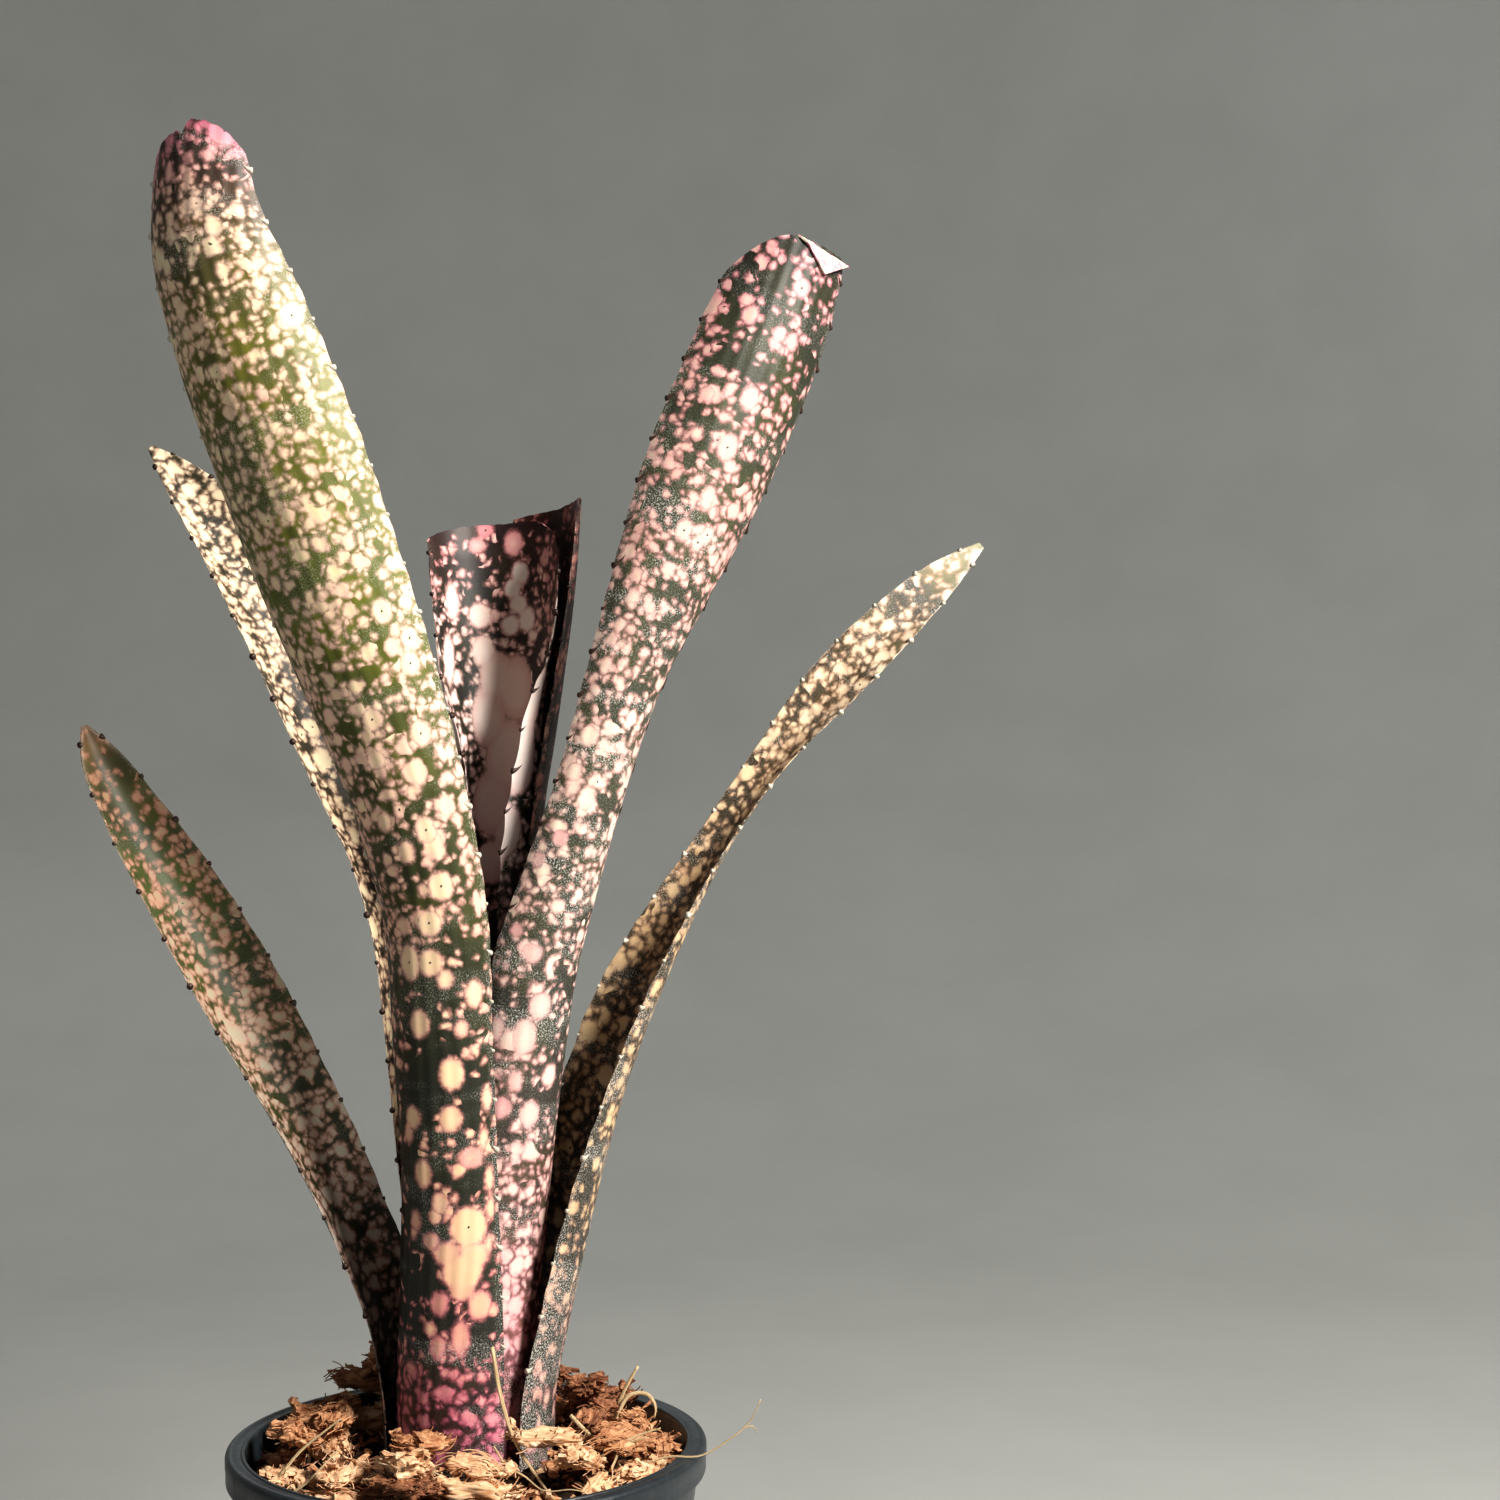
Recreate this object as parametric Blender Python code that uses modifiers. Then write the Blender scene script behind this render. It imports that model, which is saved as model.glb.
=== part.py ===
"""Potted bromeliad: seven rolled strap leaves on a short stem, set in coconut husk chips in a round pot.

Metres, +Z up. The origin is the centre of the pot's flat base, and the pot's axis is +Z.
Leaf stations and pot sizes are given in millimetres and scaled by MM.
"""
import math
import random

import bmesh
import bpy
import numpy as np
from mathutils import Matrix, Vector
from mathutils.bvhtree import BVHTree

MM = 0.001

# driving dimensions, mm
POT_RIM_RADIUS = 55.0
POT_HEIGHT = 100.0
POT_BASE_RADIUS = 40.0
POT_WALL = 1.8
POT_FLOOR = 2.4
RIM_WIDTH = 4.6
RIM_BAND = 7.0
RIM_OVERHANG = 1.0
RIM_ROUND = 1.4
DRAIN_HOLES = 8
DRAIN_HOLE_RADIUS = 3.6
DRAIN_RING_RADIUS = 27.0
LEAF_THICKNESS = 1.0
LEAF_SCALE = 1.0
CLEARANCE = 0.3
CHIP_SIZE = 1.0
CHIP_START_RISE = 16.0
CHIP_STEP_DOWN = 0.25
CHIP_STEP_OUT = 1.0
SKIN = CLEARANCE * 1.3

# bed of fine coir: drops are measured down from the top of the pot, mm
BED_EDGE_DROP = 7.0
BED_CROWN_DROP = 1.5
POCKET_TOP_RADIUS = 21.2 * LEAF_SCALE
POCKET_SHELF_RADIUS = 16.6 * LEAF_SCALE
POCKET_SHELF_HEIGHT = POT_HEIGHT - 28.0
POCKET_FLOOR_HEIGHT = POT_HEIGHT - 42.5

# stem: it stands in the bed's pocket, mm
STEM_BASE_RADIUS = 11.5 * LEAF_SCALE
STEM_CORE_RADIUS = 4.4 * LEAF_SCALE
STEM_SHOULDER_HEIGHT = POCKET_SHELF_HEIGHT
STEM_TIP_HEIGHT = STEM_SHOULDER_HEIGHT + 25.0 * LEAF_SCALE

# Each leaf's stations from the base up:
# height, across (+X), depth (+Y), width along the curl, curl in degrees, heading of the outer face in degrees
# (0 faces -Y, 90 faces +X). The heights are for a pot 100 mm high.
STATION_POT_HEIGHT = 100.0
LEAF_STATIONS = {
    "leaf_front_left": [
        (74, -6, -9.5, 28, 140, -35), (96, -9, -13, 39, 140, -35), (130, -8.2, -14.5, 38, 143, -30),
        (160, -6.7, -17, 33.5, 146, -23), (192, -7.4, -19, 33.5, 146, -18), (221, -8.8, -22, 34.5, 142, -18),
        (247, -14.2, -26, 37.5, 138, -18), (273, -22.5, -31, 42.5, 136, -18), (299, -31.7, -36, 45.5, 134, -18),
        (324, -40, -40, 45.5, 130, -18), (350, -48.5, -43, 41.5, 124, -18), (369, -53.4, -44.5, 35.5, 116, -18),
        (382, -53, -45.2, 29.5, 108, -18), (391, -51.8, -45.6, 24, 102, -18)],
    "leaf_front_right": [
        (74, 8, -5.5, 26, 150, 45), (96, 11.5, -9, 37.5, 150, 45), (130, 12, -8, 36, 150, 44),
        (160, 14.5, -7.5, 35, 150, 42), (190, 18, -9.5, 32, 150, 39), (210, 21, -11, 31, 150, 38),
        (228, 26, -12, 28, 150, 38), (251, 33, -13, 25.5, 148, 38), (274, 40, -13, 27, 145, 35),
        (297, 49, -13, 33.5, 140, 30), (320, 58, -11.5, 38.5, 130, 26), (342, 66.3, -9, 38, 122, 22),
        (360, 72.5, -6.5, 34.5, 112, 18), (370, 75.8, -5, 30, 104, 16), (376.5, 78, -4.3, 26, 98, 16)],
    "leaf_centre": [
        (74, 0.7, 7.1, 29, 270, 175), (96, 1.1, 11.6, 50, 270, 175), (112, 1.3, 11.7, 49, 270, 175),
        (142, 1.9, 12.3, 47.5, 270, 175), (175, 4.1, 12.9, 47, 285, 174), (205, 5.9, 13, 49, 315, 172),
        (229, 7, 13.3, 51, 325, 172), (248, 7.5, 13.9, 51, 304, 172), (262, 9, 14.3, 47, 262, 166),
        (275, 8.3, 16, 45.5, 205, 168), (290, 8.3, 17.1, 47, 182, 170), (303, 7.8, 17.6, 46.5, 168, 170),
        (314, 7.2, 17.8, 46, 160, 170)],
    "leaf_back_centre": [
        (74, 4.2, 7.7, 27.5, 200, 150), (96, 6.4, 11.6, 43.3, 200, 150), (112, 6.5, 11.8, 42.6, 200, 150),
        (142, 6.9, 12.4, 41.2, 200, 150), (175, 8.9, 13.3, 39, 200, 150), (205, 10, 13.7, 37.4, 200, 151),
        (229, 10.8, 13.9, 36.8, 198, 151), (248, 12.5, 13.8, 36.5, 185, 146), (262, 15.2, 14, 36.8, 168, 140),
        (275, 17.6, 14.5, 36.5, 140, 133), (290, 19.6, 15, 36.5, 126, 131), (305, 21.2, 14.9, 35.5, 110, 128),
        (319, 23, 13.7, 30, 90, 122)],
    "leaf_back_left": [
        (74, -5.6, 9, 21.5, 125, -145), (96, -8.3, 12.4, 31, 125, -145), (115, -8.3, 12.6, 31, 125, -145),
        (142, -8.6, 13.6, 29.5, 125, -146), (171, -12.9, 16.2, 25.5, 130, -148),
        (197, -15.8, 17.5, 25.5, 138, -150),
        (215, -18.7, 20, 26, 143, -150), (232, -24.5, 24, 24.5, 145, -150), (260, -38.5, 29, 23.7, 140, -150),
        (290, -53, 34, 24, 130, -150), (310, -64.5, 38, 20, 114, -150), (325, -75.5, 41, 12, 92, -150),
        (334, -83.8, 42, 2, 60, -150)],
    "leaf_left": [
        (74, -12, 8.5, 28, 112, -124), (96, -15.8, 10.8, 37.5, 112, -124), (112, -17, 10.3, 34, 110, -124),
        (127, -20.7, 8.5, 25, 108, -124), (143, -27.2, 7.2, 22.5, 112, -124), (162, -36, 6.5, 24.5, 126, -125),
        (180, -45, 6, 25.5, 132, -130), (203, -57, 4, 27, 130, -135), (227, -69.5, 2, 23, 125, -140),
        (246, -80, 0, 16.5, 110, -140), (258, -86, -1, 10, 90, -140), (264.5, -88.3, -2, 2, 70, -140)],
    "leaf_right": [
        (74, 14.5, 4.5, 33, 130, 106), (96, 18.9, 5.7, 43.5, 130, 106), (110, 19.5, 5.7, 43, 131, 106),
        (126, 22.3, 7, 40.5, 138, 108), (141, 25.4, 8.3, 40, 142, 109), (158, 29, 9.8, 38, 143, 112),
        (180, 34.5, 12, 34, 141, 117), (198, 40.8, 14, 31.5, 138, 119), (216, 48.5, 16, 24, 136, 122),
        (236, 58.5, 18.5, 15, 134, 130), (255, 70.5, 21, 13, 132, 143), (275, 86.5, 23, 16.5, 120, 158),
        (290, 100.5, 25, 14.5, 108, 166), (301, 112, 26, 9.5, 90, 170), (308.5, 121, 27, 2, 60, 170)],
}
# chips laid by hand at the front: across, distance beyond the leaf bases, length, width, thickness, turn, shade
FRONT_CHIPS = ((20.0, 1.0, 16.0, 7.0, 3.0, 0.15, 0.95), (-23.0, 5.0, 19.0, 4.6, 3.2, 1.35, 1.0),
               (-6.0, -0.5, 11.0, 6.5, 3.4, 0.5, 0.5), (6.0, 2.5, 12.0, 7.0, 3.4, -0.4, 0.7))
# rows and columns of each leaf's grid
LEAF_GRID = {
    "leaf_front_left": (24, 12), "leaf_front_right": (24, 12), "leaf_centre": (34, 19),
    "leaf_back_centre": (34, 14), "leaf_back_left": (20, 10), "leaf_left": (20, 10), "leaf_right": (22, 11),
}
LEAF_COLOURS = {
    "leaf_front_left": (0.36, 0.33, 0.20), "leaf_front_right": (0.40, 0.34, 0.31),
    "leaf_centre": (0.34, 0.27, 0.25), "leaf_back_centre": (0.26, 0.17, 0.15),
    "leaf_back_left": (0.30, 0.29, 0.22), "leaf_left": (0.24, 0.22, 0.16), "leaf_right": (0.29, 0.22, 0.14),
}


def tip_drop(name, across):
    """How far the leaf's end lies below its highest point, in mm, at a place across it (-1 to 1)."""
    if name == "leaf_front_left":
        return 9.0 * np.abs(across) ** 2.2
    if name == "leaf_front_right":
        return 11.0 * np.abs(np.minimum(across, 0)) ** 1.6 + 3.0 * np.clip(across, 0, 1) ** 2
    if name == "leaf_centre":
        near = np.clip(-across - 0.3, 0, 0.7) / 0.7
        return 0.8 + 4.0 * np.clip(across, 0, 1) ** 3 + 12.0 * near ** 1.6
    if name == "leaf_back_centre":
        far = np.clip((across + 0.4) / 1.4, 0, 1)
        near = np.clip((-across - 0.5) / 0.5, 0, 1)
        return 7.0 * far ** 1.2 + 5.0 * near ** 1.5
    return 0.0 * across


def clear_scene():
    for item in list(bpy.data.objects):
        bpy.data.objects.remove(item, do_unlink=True)


def new_collection(name):
    group = bpy.data.collections.new(name)
    bpy.context.scene.collection.children.link(group)
    return group


def make_material(name, colour, roughness, metallic=0.0):
    material = bpy.data.materials.new(name)
    material.use_nodes = True
    shader = material.node_tree.nodes["Principled BSDF"]
    shader.inputs["Base Color"].default_value = (*colour, 1.0)
    shader.inputs["Roughness"].default_value = roughness
    shader.inputs["Metallic"].default_value = metallic
    material.diffuse_color = (*colour, 1.0)
    return material


def add_object(name, mesh, group, material=None):
    item = bpy.data.objects.new(name, mesh)
    group.objects.link(item)
    if material:
        mesh.materials.append(material)
    return item


def turned(name, profile, group, material, steps):
    """Turns a profile of (radius, height) points in mm about +Z."""
    mesh = bpy.data.meshes.new(name)
    points = [(radius * MM, 0.0, height * MM) for radius, height in profile]
    mesh.from_pydata(points, [(i, i + 1) for i in range(len(points) - 1)], [])
    item = add_object(name, mesh, group, material)
    screw = item.modifiers.new("turn", "SCREW")
    screw.steps = steps
    screw.render_steps = steps
    screw.use_merge_vertices = True
    screw.merge_threshold = 0.00005
    screw.use_smooth_shade = True
    return item


def arc(centre, radius, start, end, count):
    """Points on an arc in the profile plane, angles in degrees from +radius towards +height."""
    angles = [math.radians(start + (end - start) * i / (count - 1)) for i in range(count)]
    return [(centre[0] + radius * math.cos(a), centre[1] + radius * math.sin(a)) for a in angles]


def pot_wall_radius(height):
    """Outer radius of the tapered body at a height, mm."""
    top = POT_RIM_RADIUS - RIM_OVERHANG
    return POT_BASE_RADIUS + (top - POT_BASE_RADIUS) * height / POT_HEIGHT


def pot_inner_radius(height):
    return pot_wall_radius(height) - POT_WALL


def build_pot(group, cutters):
    rim_inner = POT_RIM_RADIUS - RIM_WIDTH
    band_bottom = POT_HEIGHT - RIM_BAND
    profile = [(0.0, POT_FLOOR), (pot_inner_radius(POT_FLOOR) - 2.0, POT_FLOOR)]
    profile += [(pot_inner_radius(POT_FLOOR + 2.0), POT_FLOOR + 2.0)]
    profile += [(pot_inner_radius(band_bottom - 3.0), band_bottom - 3.0), (rim_inner, band_bottom)]
    profile += arc((rim_inner + RIM_ROUND, POT_HEIGHT - RIM_ROUND), RIM_ROUND, 180, 90, 4)
    profile += arc((POT_RIM_RADIUS - RIM_ROUND, POT_HEIGHT - RIM_ROUND), RIM_ROUND, 90, 0, 4)
    profile += [(POT_RIM_RADIUS, band_bottom + 0.6), (POT_RIM_RADIUS - 0.3, band_bottom)]
    profile += [(pot_wall_radius(band_bottom), band_bottom - 0.3)]
    profile += [(POT_BASE_RADIUS + 0.3, 1.5), (POT_BASE_RADIUS - 1.0, 0.0), (0.0, 0.0)]
    plastic = make_material("black pot plastic", (0.018, 0.021, 0.024), 0.42)
    pot = turned("pot", profile, group, plastic, 56)
    for index in range(DRAIN_HOLES):
        angle = 2 * math.pi * (index + 0.5) / DRAIN_HOLES
        mesh = bpy.data.meshes.new(f"drain_cutter_{index + 1}")
        work = bmesh.new()
        bmesh.ops.create_cone(work, cap_ends=True, segments=16, radius1=DRAIN_HOLE_RADIUS * MM,
                              radius2=DRAIN_HOLE_RADIUS * MM, depth=4 * POT_FLOOR * MM)
        work.to_mesh(mesh)
        work.free()
        cutter = add_object(mesh.name, mesh, cutters)
        cutter.location = Vector((math.cos(angle), math.sin(angle), 0.0)) * DRAIN_RING_RADIUS * MM
        cutter.hide_render = True
        cutter.display_type = "WIRE"
        cut = pot.modifiers.new(f"drain {index + 1}", "BOOLEAN")
        cut.operation = "DIFFERENCE"
        cut.solver = "EXACT"
        cut.object = cutter
    return pot


def bed_profile():
    """Closed outline of the fine coir that fills the pot, with a pocket for the stem and the leaf bases."""
    edge = POT_HEIGHT - BED_EDGE_DROP
    crown = POT_HEIGHT - BED_CROWN_DROP
    floor = POT_FLOOR + CLEARANCE
    outer = []
    for height in (edge, POT_HEIGHT - RIM_BAND - 4.0, POT_FLOOR + 4.0):
        outer.append((min(pot_inner_radius(height), POT_RIM_RADIUS - RIM_WIDTH) - CLEARANCE, height))
    top = [(POCKET_TOP_RADIUS, crown), (POCKET_TOP_RADIUS + 9.0, crown - 1.2), (outer[0][0] - 6.0, edge + 1.5)]
    pocket = [(0.0, POCKET_FLOOR_HEIGHT), (STEM_BASE_RADIUS + 1.0, POCKET_FLOOR_HEIGHT)]
    pocket += [(STEM_BASE_RADIUS + 1.0, POCKET_SHELF_HEIGHT - 2.0), (POCKET_SHELF_RADIUS, POCKET_SHELF_HEIGHT)]
    return pocket + top + outer + [(pot_inner_radius(floor) - 4.0, floor), (0.0, floor)]


def build_stem(group):
    green = make_material("stem tissue", (0.42, 0.36, 0.20), 0.6)
    bottom, shoulder = POCKET_FLOOR_HEIGHT + CLEARANCE, STEM_SHOULDER_HEIGHT
    core, base = STEM_CORE_RADIUS, STEM_BASE_RADIUS
    profile = [(0.0, STEM_TIP_HEIGHT)]
    profile += arc((core - 3.2, STEM_TIP_HEIGHT - 2.0), 2.0, 75, 10, 4)
    profile += [(core, shoulder + 1.0), (core + 0.4, shoulder + 0.4)]
    profile += [(base - 1.5, shoulder - 0.2), (base, shoulder - 2.6)]
    profile += [(base - 1.0, bottom + 2.5), (base - 4.0, bottom), (0.0, bottom)]
    return turned("stem", profile, group, green, 32)


def station_curve(rows, places):
    """Smooth values between stations, spaced by distance along the leaf; places run from 0 to 1."""
    steps = np.linalg.norm(np.diff(rows[:, :3], axis=0), axis=1)
    along = np.concatenate([[0.0], np.cumsum(steps)])
    along = along / along[-1]
    gap = np.diff(along)[:, None]
    slope = np.diff(rows, axis=0) / gap
    tangent = np.empty_like(rows)
    tangent[0], tangent[-1] = slope[0], slope[-1]
    tangent[1:-1] = (slope[1:] * gap[:-1] + slope[:-1] * gap[1:]) / (gap[1:] + gap[:-1])
    index = np.clip(np.searchsorted(along, places, side="right") - 1, 0, len(along) - 2)
    span = gap[index, 0][..., None]
    part = (places - along[index])[..., None] / span
    square, cube = part ** 2, part ** 3
    start = (2 * cube - 3 * square + 1) * rows[index] + (cube - 2 * square + part) * span * tangent[index]
    finish = (3 * square - 2 * cube) * rows[index + 1] + (cube - square) * span * tangent[index + 1]
    return start + finish


def leaf_surface(name, rows_count, columns_count):
    """Grid of points on the leaf's outer face, in mm, shaped rows x columns x 3."""
    table = np.array(LEAF_STATIONS[name], dtype=float)
    rows = table[:, [1, 2, 0, 3, 4, 5]]
    rows[:, :4] *= LEAF_SCALE
    rows[:, 2] += (1.0 - LEAF_SCALE) * LEAF_STATIONS[name][0][0] + POT_HEIGHT - STATION_POT_HEIGHT
    length = np.linalg.norm(np.diff(rows[:, :3], axis=0), axis=1).sum()
    across = np.linspace(-1.0, 1.0, columns_count)
    along = np.linspace(0.0, 1.0, rows_count)
    near_end = np.clip((along - 0.8) / 0.2, 0, 1) ** 2
    places = along[:, None] - near_end[:, None] * tip_drop(name, across)[None] / length
    values = station_curve(rows, places)
    small = 0.001
    ahead = station_curve(rows, np.clip(places + small, 0, 1))[..., :3]
    behind = station_curve(rows, np.clip(places - small, 0, 1))[..., :3]
    direction = ahead - behind
    direction /= np.linalg.norm(direction, axis=-1)[..., None]
    curl, heading = np.radians(values[..., 4]), np.radians(values[..., 5])
    outward = np.stack([np.sin(heading), -np.cos(heading), np.zeros_like(heading)], -1)
    outward -= (outward * direction).sum(-1)[..., None] * direction
    outward /= np.linalg.norm(outward, axis=-1)[..., None]
    sideways = np.cross(direction, outward)
    radius = (values[..., 3] / curl)[..., None]
    angle = (across[None] * curl / 2)[..., None]
    centre = values[..., :3] - outward * radius
    return centre + radius * (outward * np.cos(angle) + sideways * np.sin(angle))


def build_leaf(name, group):
    rows_count, columns_count = LEAF_GRID[name]
    points = leaf_surface(name, rows_count, columns_count)
    faces = []
    for row in range(rows_count - 1):
        for column in range(columns_count - 1):
            first = row * columns_count + column
            faces.append((first, first + 1, first + 1 + columns_count, first + columns_count))
    mesh = bpy.data.meshes.new(name)
    mesh.from_pydata((points.reshape(-1, 3) * MM).tolist(), [], faces)
    mesh.shade_smooth()
    leaf = add_object(name, mesh, group, make_material(name + " tissue", LEAF_COLOURS[name], 0.45))
    thick = leaf.vertex_groups.new(name="thickness")
    for index in range(rows_count * columns_count):
        across = 2.0 * (index % columns_count) / (columns_count - 1) - 1.0
        thick.add([index], 1.0 - 0.45 * abs(across) ** 6, "REPLACE")
    shell = leaf.modifiers.new("blade thickness", "SOLIDIFY")
    shell.thickness = LEAF_THICKNESS * LEAF_SCALE * MM
    shell.offset = -1.0
    shell.vertex_group = "thickness"
    return leaf


def chip_mesh(name, length, width, thickness, seed):
    """A broken piece of husk: the hull of a box whose corners and middles are knocked about."""
    pick = random.Random(seed)
    work = bmesh.new()

    def spot(along, side, up):
        work.verts.new((length * along, width * side, thickness * up))

    for end in (-1, 1):
        for side in (-1, 1):
            for face in (-1, 1):
                spot(end * pick.uniform(0.32, 0.5), side * pick.uniform(0.3, 0.5),
                     face * pick.uniform(0.28, 0.5))
        spot(end * 0.5, pick.uniform(-0.2, 0.2), pick.uniform(-0.2, 0.2))
        spot(pick.uniform(-0.2, 0.2), end * 0.5, pick.uniform(-0.2, 0.2))
        spot(pick.uniform(-0.2, 0.2), pick.uniform(-0.2, 0.2), end * 0.5)
    hull = bmesh.ops.convex_hull(work, input=work.verts)
    loose = [item for item in hull["geom_interior"] if isinstance(item, bmesh.types.BMVert)]
    bmesh.ops.delete(work, geom=loose, context="VERTS")
    bmesh.ops.recalc_face_normals(work, faces=work.faces)
    mesh = bpy.data.meshes.new(name)
    work.to_mesh(mesh)
    work.free()
    return mesh


def world_tree(item):
    """Search tree of an object's evaluated mesh, in mm."""
    shown = item.evaluated_get(bpy.context.evaluated_depsgraph_get())
    mesh = shown.to_mesh()
    points = [(shown.matrix_world @ vertex.co) / MM for vertex in mesh.vertices]
    tree = BVHTree.FromPolygons(points, [tuple(face.vertices) for face in mesh.polygons])
    shown.to_mesh_clear()
    return tree


def rest_chip(mesh, place, below):
    """Moves a chip out until it hangs clear, then lowers it until its clearance skin meets what lies below.

    Returns where it comes to rest, in mm, and how it is turned.
    """
    across, depth, turn, lean, roll = place
    spin = Matrix.Rotation(turn, 3, "Z") @ Matrix.Rotation(lean, 3, "Y") @ Matrix.Rotation(roll, 3, "X")
    skin = [spin @ (vertex.co + vertex.normal.normalized() * SKIN) for vertex in mesh.vertices]
    faces = [tuple(face.vertices) for face in mesh.polygons]

    def touches(rest):
        tree = BVHTree.FromPolygons([point + rest for point in skin], faces)
        return any(tree.overlap(other) for other in below)

    rest = Vector((across, depth, POT_HEIGHT + CHIP_START_RISE))
    away = Vector((across, depth, 0.0)).normalized()
    while touches(rest) and rest.xy.length < POT_RIM_RADIUS:
        rest += away * CHIP_STEP_OUT
    while rest.z > POT_HEIGHT - BED_EDGE_DROP:
        lower = rest - Vector((0.0, 0.0, CHIP_STEP_DOWN))
        if touches(lower):
            break
        rest = lower
    return rest, spin


def chip_places():
    """Across, depth, length, width, thickness, turn, lean, roll and shade (0 dark to 1 pale) of each chip."""
    pick = random.Random(11)
    near, far = POCKET_TOP_RADIUS + 8.6, POT_RIM_RADIUS - 12.0
    rings = ((far, 14, 4.0, 0.16), (near + 1.2, 9, 24.0, 0.2),
             (far - 5.0, 12, 12.0, 0.38), (near, 8, 40.0, 0.3))
    places = []
    for radius, count, start, lean in rings:
        for index in range(count):
            angle = math.radians(start + 360.0 * index / count + pick.uniform(-7, 7))
            away = radius + pick.uniform(-1.2, 1.0)
            size = CHIP_SIZE * pick.uniform(11.5, 17.0)
            width, thickness = size * pick.uniform(0.48, 0.68), pick.uniform(3.6, 5.6)
            turn = angle + math.pi / 2 + pick.uniform(-0.5, 0.5)
            tilts = pick.uniform(-lean, lean), pick.uniform(-lean, lean)
            shade = pick.uniform(0.0, 1.0)
            if radius < far - 6.0 and math.sin(angle) < -0.62:
                continue  # the front leaf bases stay clear of the heap
            places.append((away * math.cos(angle), away * math.sin(angle), size, width, thickness,
                           turn, *tilts, shade))
    front = POCKET_TOP_RADIUS + 12.0
    for across, beyond, length, width, thickness, turn, shade in FRONT_CHIPS:
        depth = -math.sqrt((front + beyond) ** 2 - across ** 2)
        places.append((across, depth, length * CHIP_SIZE, width * CHIP_SIZE, thickness,
                       turn, 0.08, 0.06, shade))
    return places


def build_chips(group, bed, pot, leaves):
    shades = [make_material("dark husk", (0.16, 0.075, 0.035), 0.9),
              make_material("brown husk", (0.33, 0.17, 0.08), 0.9),
              make_material("pale husk", (0.52, 0.34, 0.18), 0.9)]
    below = [world_tree(item) for item in [bed, pot] + leaves]
    for index, place in enumerate(chip_places()):
        across, depth, length, width, thickness, turn, lean, roll, shade = place
        name = f"husk_chip_{index + 1:02d}"
        mesh = chip_mesh(name, length, width, thickness, 100 + index)
        rest, spin = rest_chip(mesh, (across, depth, turn, lean, roll), below)
        mesh.transform(spin.to_4x4())
        faces = [tuple(face.vertices) for face in mesh.polygons]
        below.append(BVHTree.FromPolygons([vertex.co + rest for vertex in mesh.vertices], faces))
        mesh.transform(Matrix.Scale(MM, 4))
        chip = add_object(name, mesh, group, shades[min(2, int(shade * 3))])
        chip.location = rest * MM


def main():
    clear_scene()
    plant = new_collection("potted_bromeliad")
    cutters = new_collection("potted_bromeliad_cutters")
    pot = build_pot(plant, cutters)
    coir = make_material("fine coir", (0.10, 0.055, 0.03), 0.95)
    bed = turned("coir_bed", bed_profile(), plant, coir, 48)
    build_stem(plant)
    leaves = [build_leaf(name, plant) for name in LEAF_STATIONS]
    bpy.context.view_layer.update()
    build_chips(plant, bed, pot, leaves)


main()
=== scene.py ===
import math

import bmesh
import bpy
import numpy as np
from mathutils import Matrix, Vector, noise


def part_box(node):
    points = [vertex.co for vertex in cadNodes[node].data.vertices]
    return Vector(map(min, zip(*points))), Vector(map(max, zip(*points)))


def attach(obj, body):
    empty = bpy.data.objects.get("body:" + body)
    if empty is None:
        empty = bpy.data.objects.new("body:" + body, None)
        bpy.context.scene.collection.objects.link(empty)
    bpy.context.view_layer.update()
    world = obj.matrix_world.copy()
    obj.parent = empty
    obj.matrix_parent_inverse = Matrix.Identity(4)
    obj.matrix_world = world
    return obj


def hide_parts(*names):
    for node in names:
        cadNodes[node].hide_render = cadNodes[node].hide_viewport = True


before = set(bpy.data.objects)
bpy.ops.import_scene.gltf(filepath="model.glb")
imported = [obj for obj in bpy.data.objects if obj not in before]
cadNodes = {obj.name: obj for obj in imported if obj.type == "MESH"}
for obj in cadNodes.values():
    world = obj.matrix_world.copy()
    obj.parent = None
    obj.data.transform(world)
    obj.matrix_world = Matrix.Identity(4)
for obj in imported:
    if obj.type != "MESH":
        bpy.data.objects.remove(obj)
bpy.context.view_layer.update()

mm = 0.001


# nodes, for the finishes and for the rules that repeat a shape
class Wire:
    # one output socket, so that sums on it read as sums
    def __init__(self, graph, socket):
        self.graph, self.socket = graph, socket

    def also(self, output):
        return Wire(self.graph, self.socket.node.outputs[output])

    def sum(self, operation, *values):
        return self.graph.add("ShaderNodeMath", {"operation": operation}, values)

    def __add__(self, other):
        return self.sum("ADD", self, other)

    def __radd__(self, other):
        return self.sum("ADD", other, self)

    def __sub__(self, other):
        return self.sum("SUBTRACT", self, other)

    def __rsub__(self, other):
        return self.sum("SUBTRACT", other, self)

    def __mul__(self, other):
        return self.sum("MULTIPLY", self, other)

    def __rmul__(self, other):
        return self.sum("MULTIPLY", other, self)

    def __truediv__(self, other):
        return self.sum("DIVIDE", self, other)

    def most(self, other):
        return self.sum("MAXIMUM", self, other)

    def soft(self, other, reach):
        # the larger of the two, with a rounded join
        return self.graph.add("ShaderNodeMath", {"operation": "SMOOTH_MAX"}, [self, other, reach])

    def least(self, other):
        return self.sum("MINIMUM", self, other)

    def over(self, other):
        return self.sum("GREATER_THAN", self, other)

    def step(self, low, high, bottom=0.0, top=1.0):
        return self.graph.add("ShaderNodeMapRange", {"interpolation_type": "SMOOTHSTEP"},
                              {0: self, 1: low, 2: high, 3: bottom, 4: top})


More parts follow.
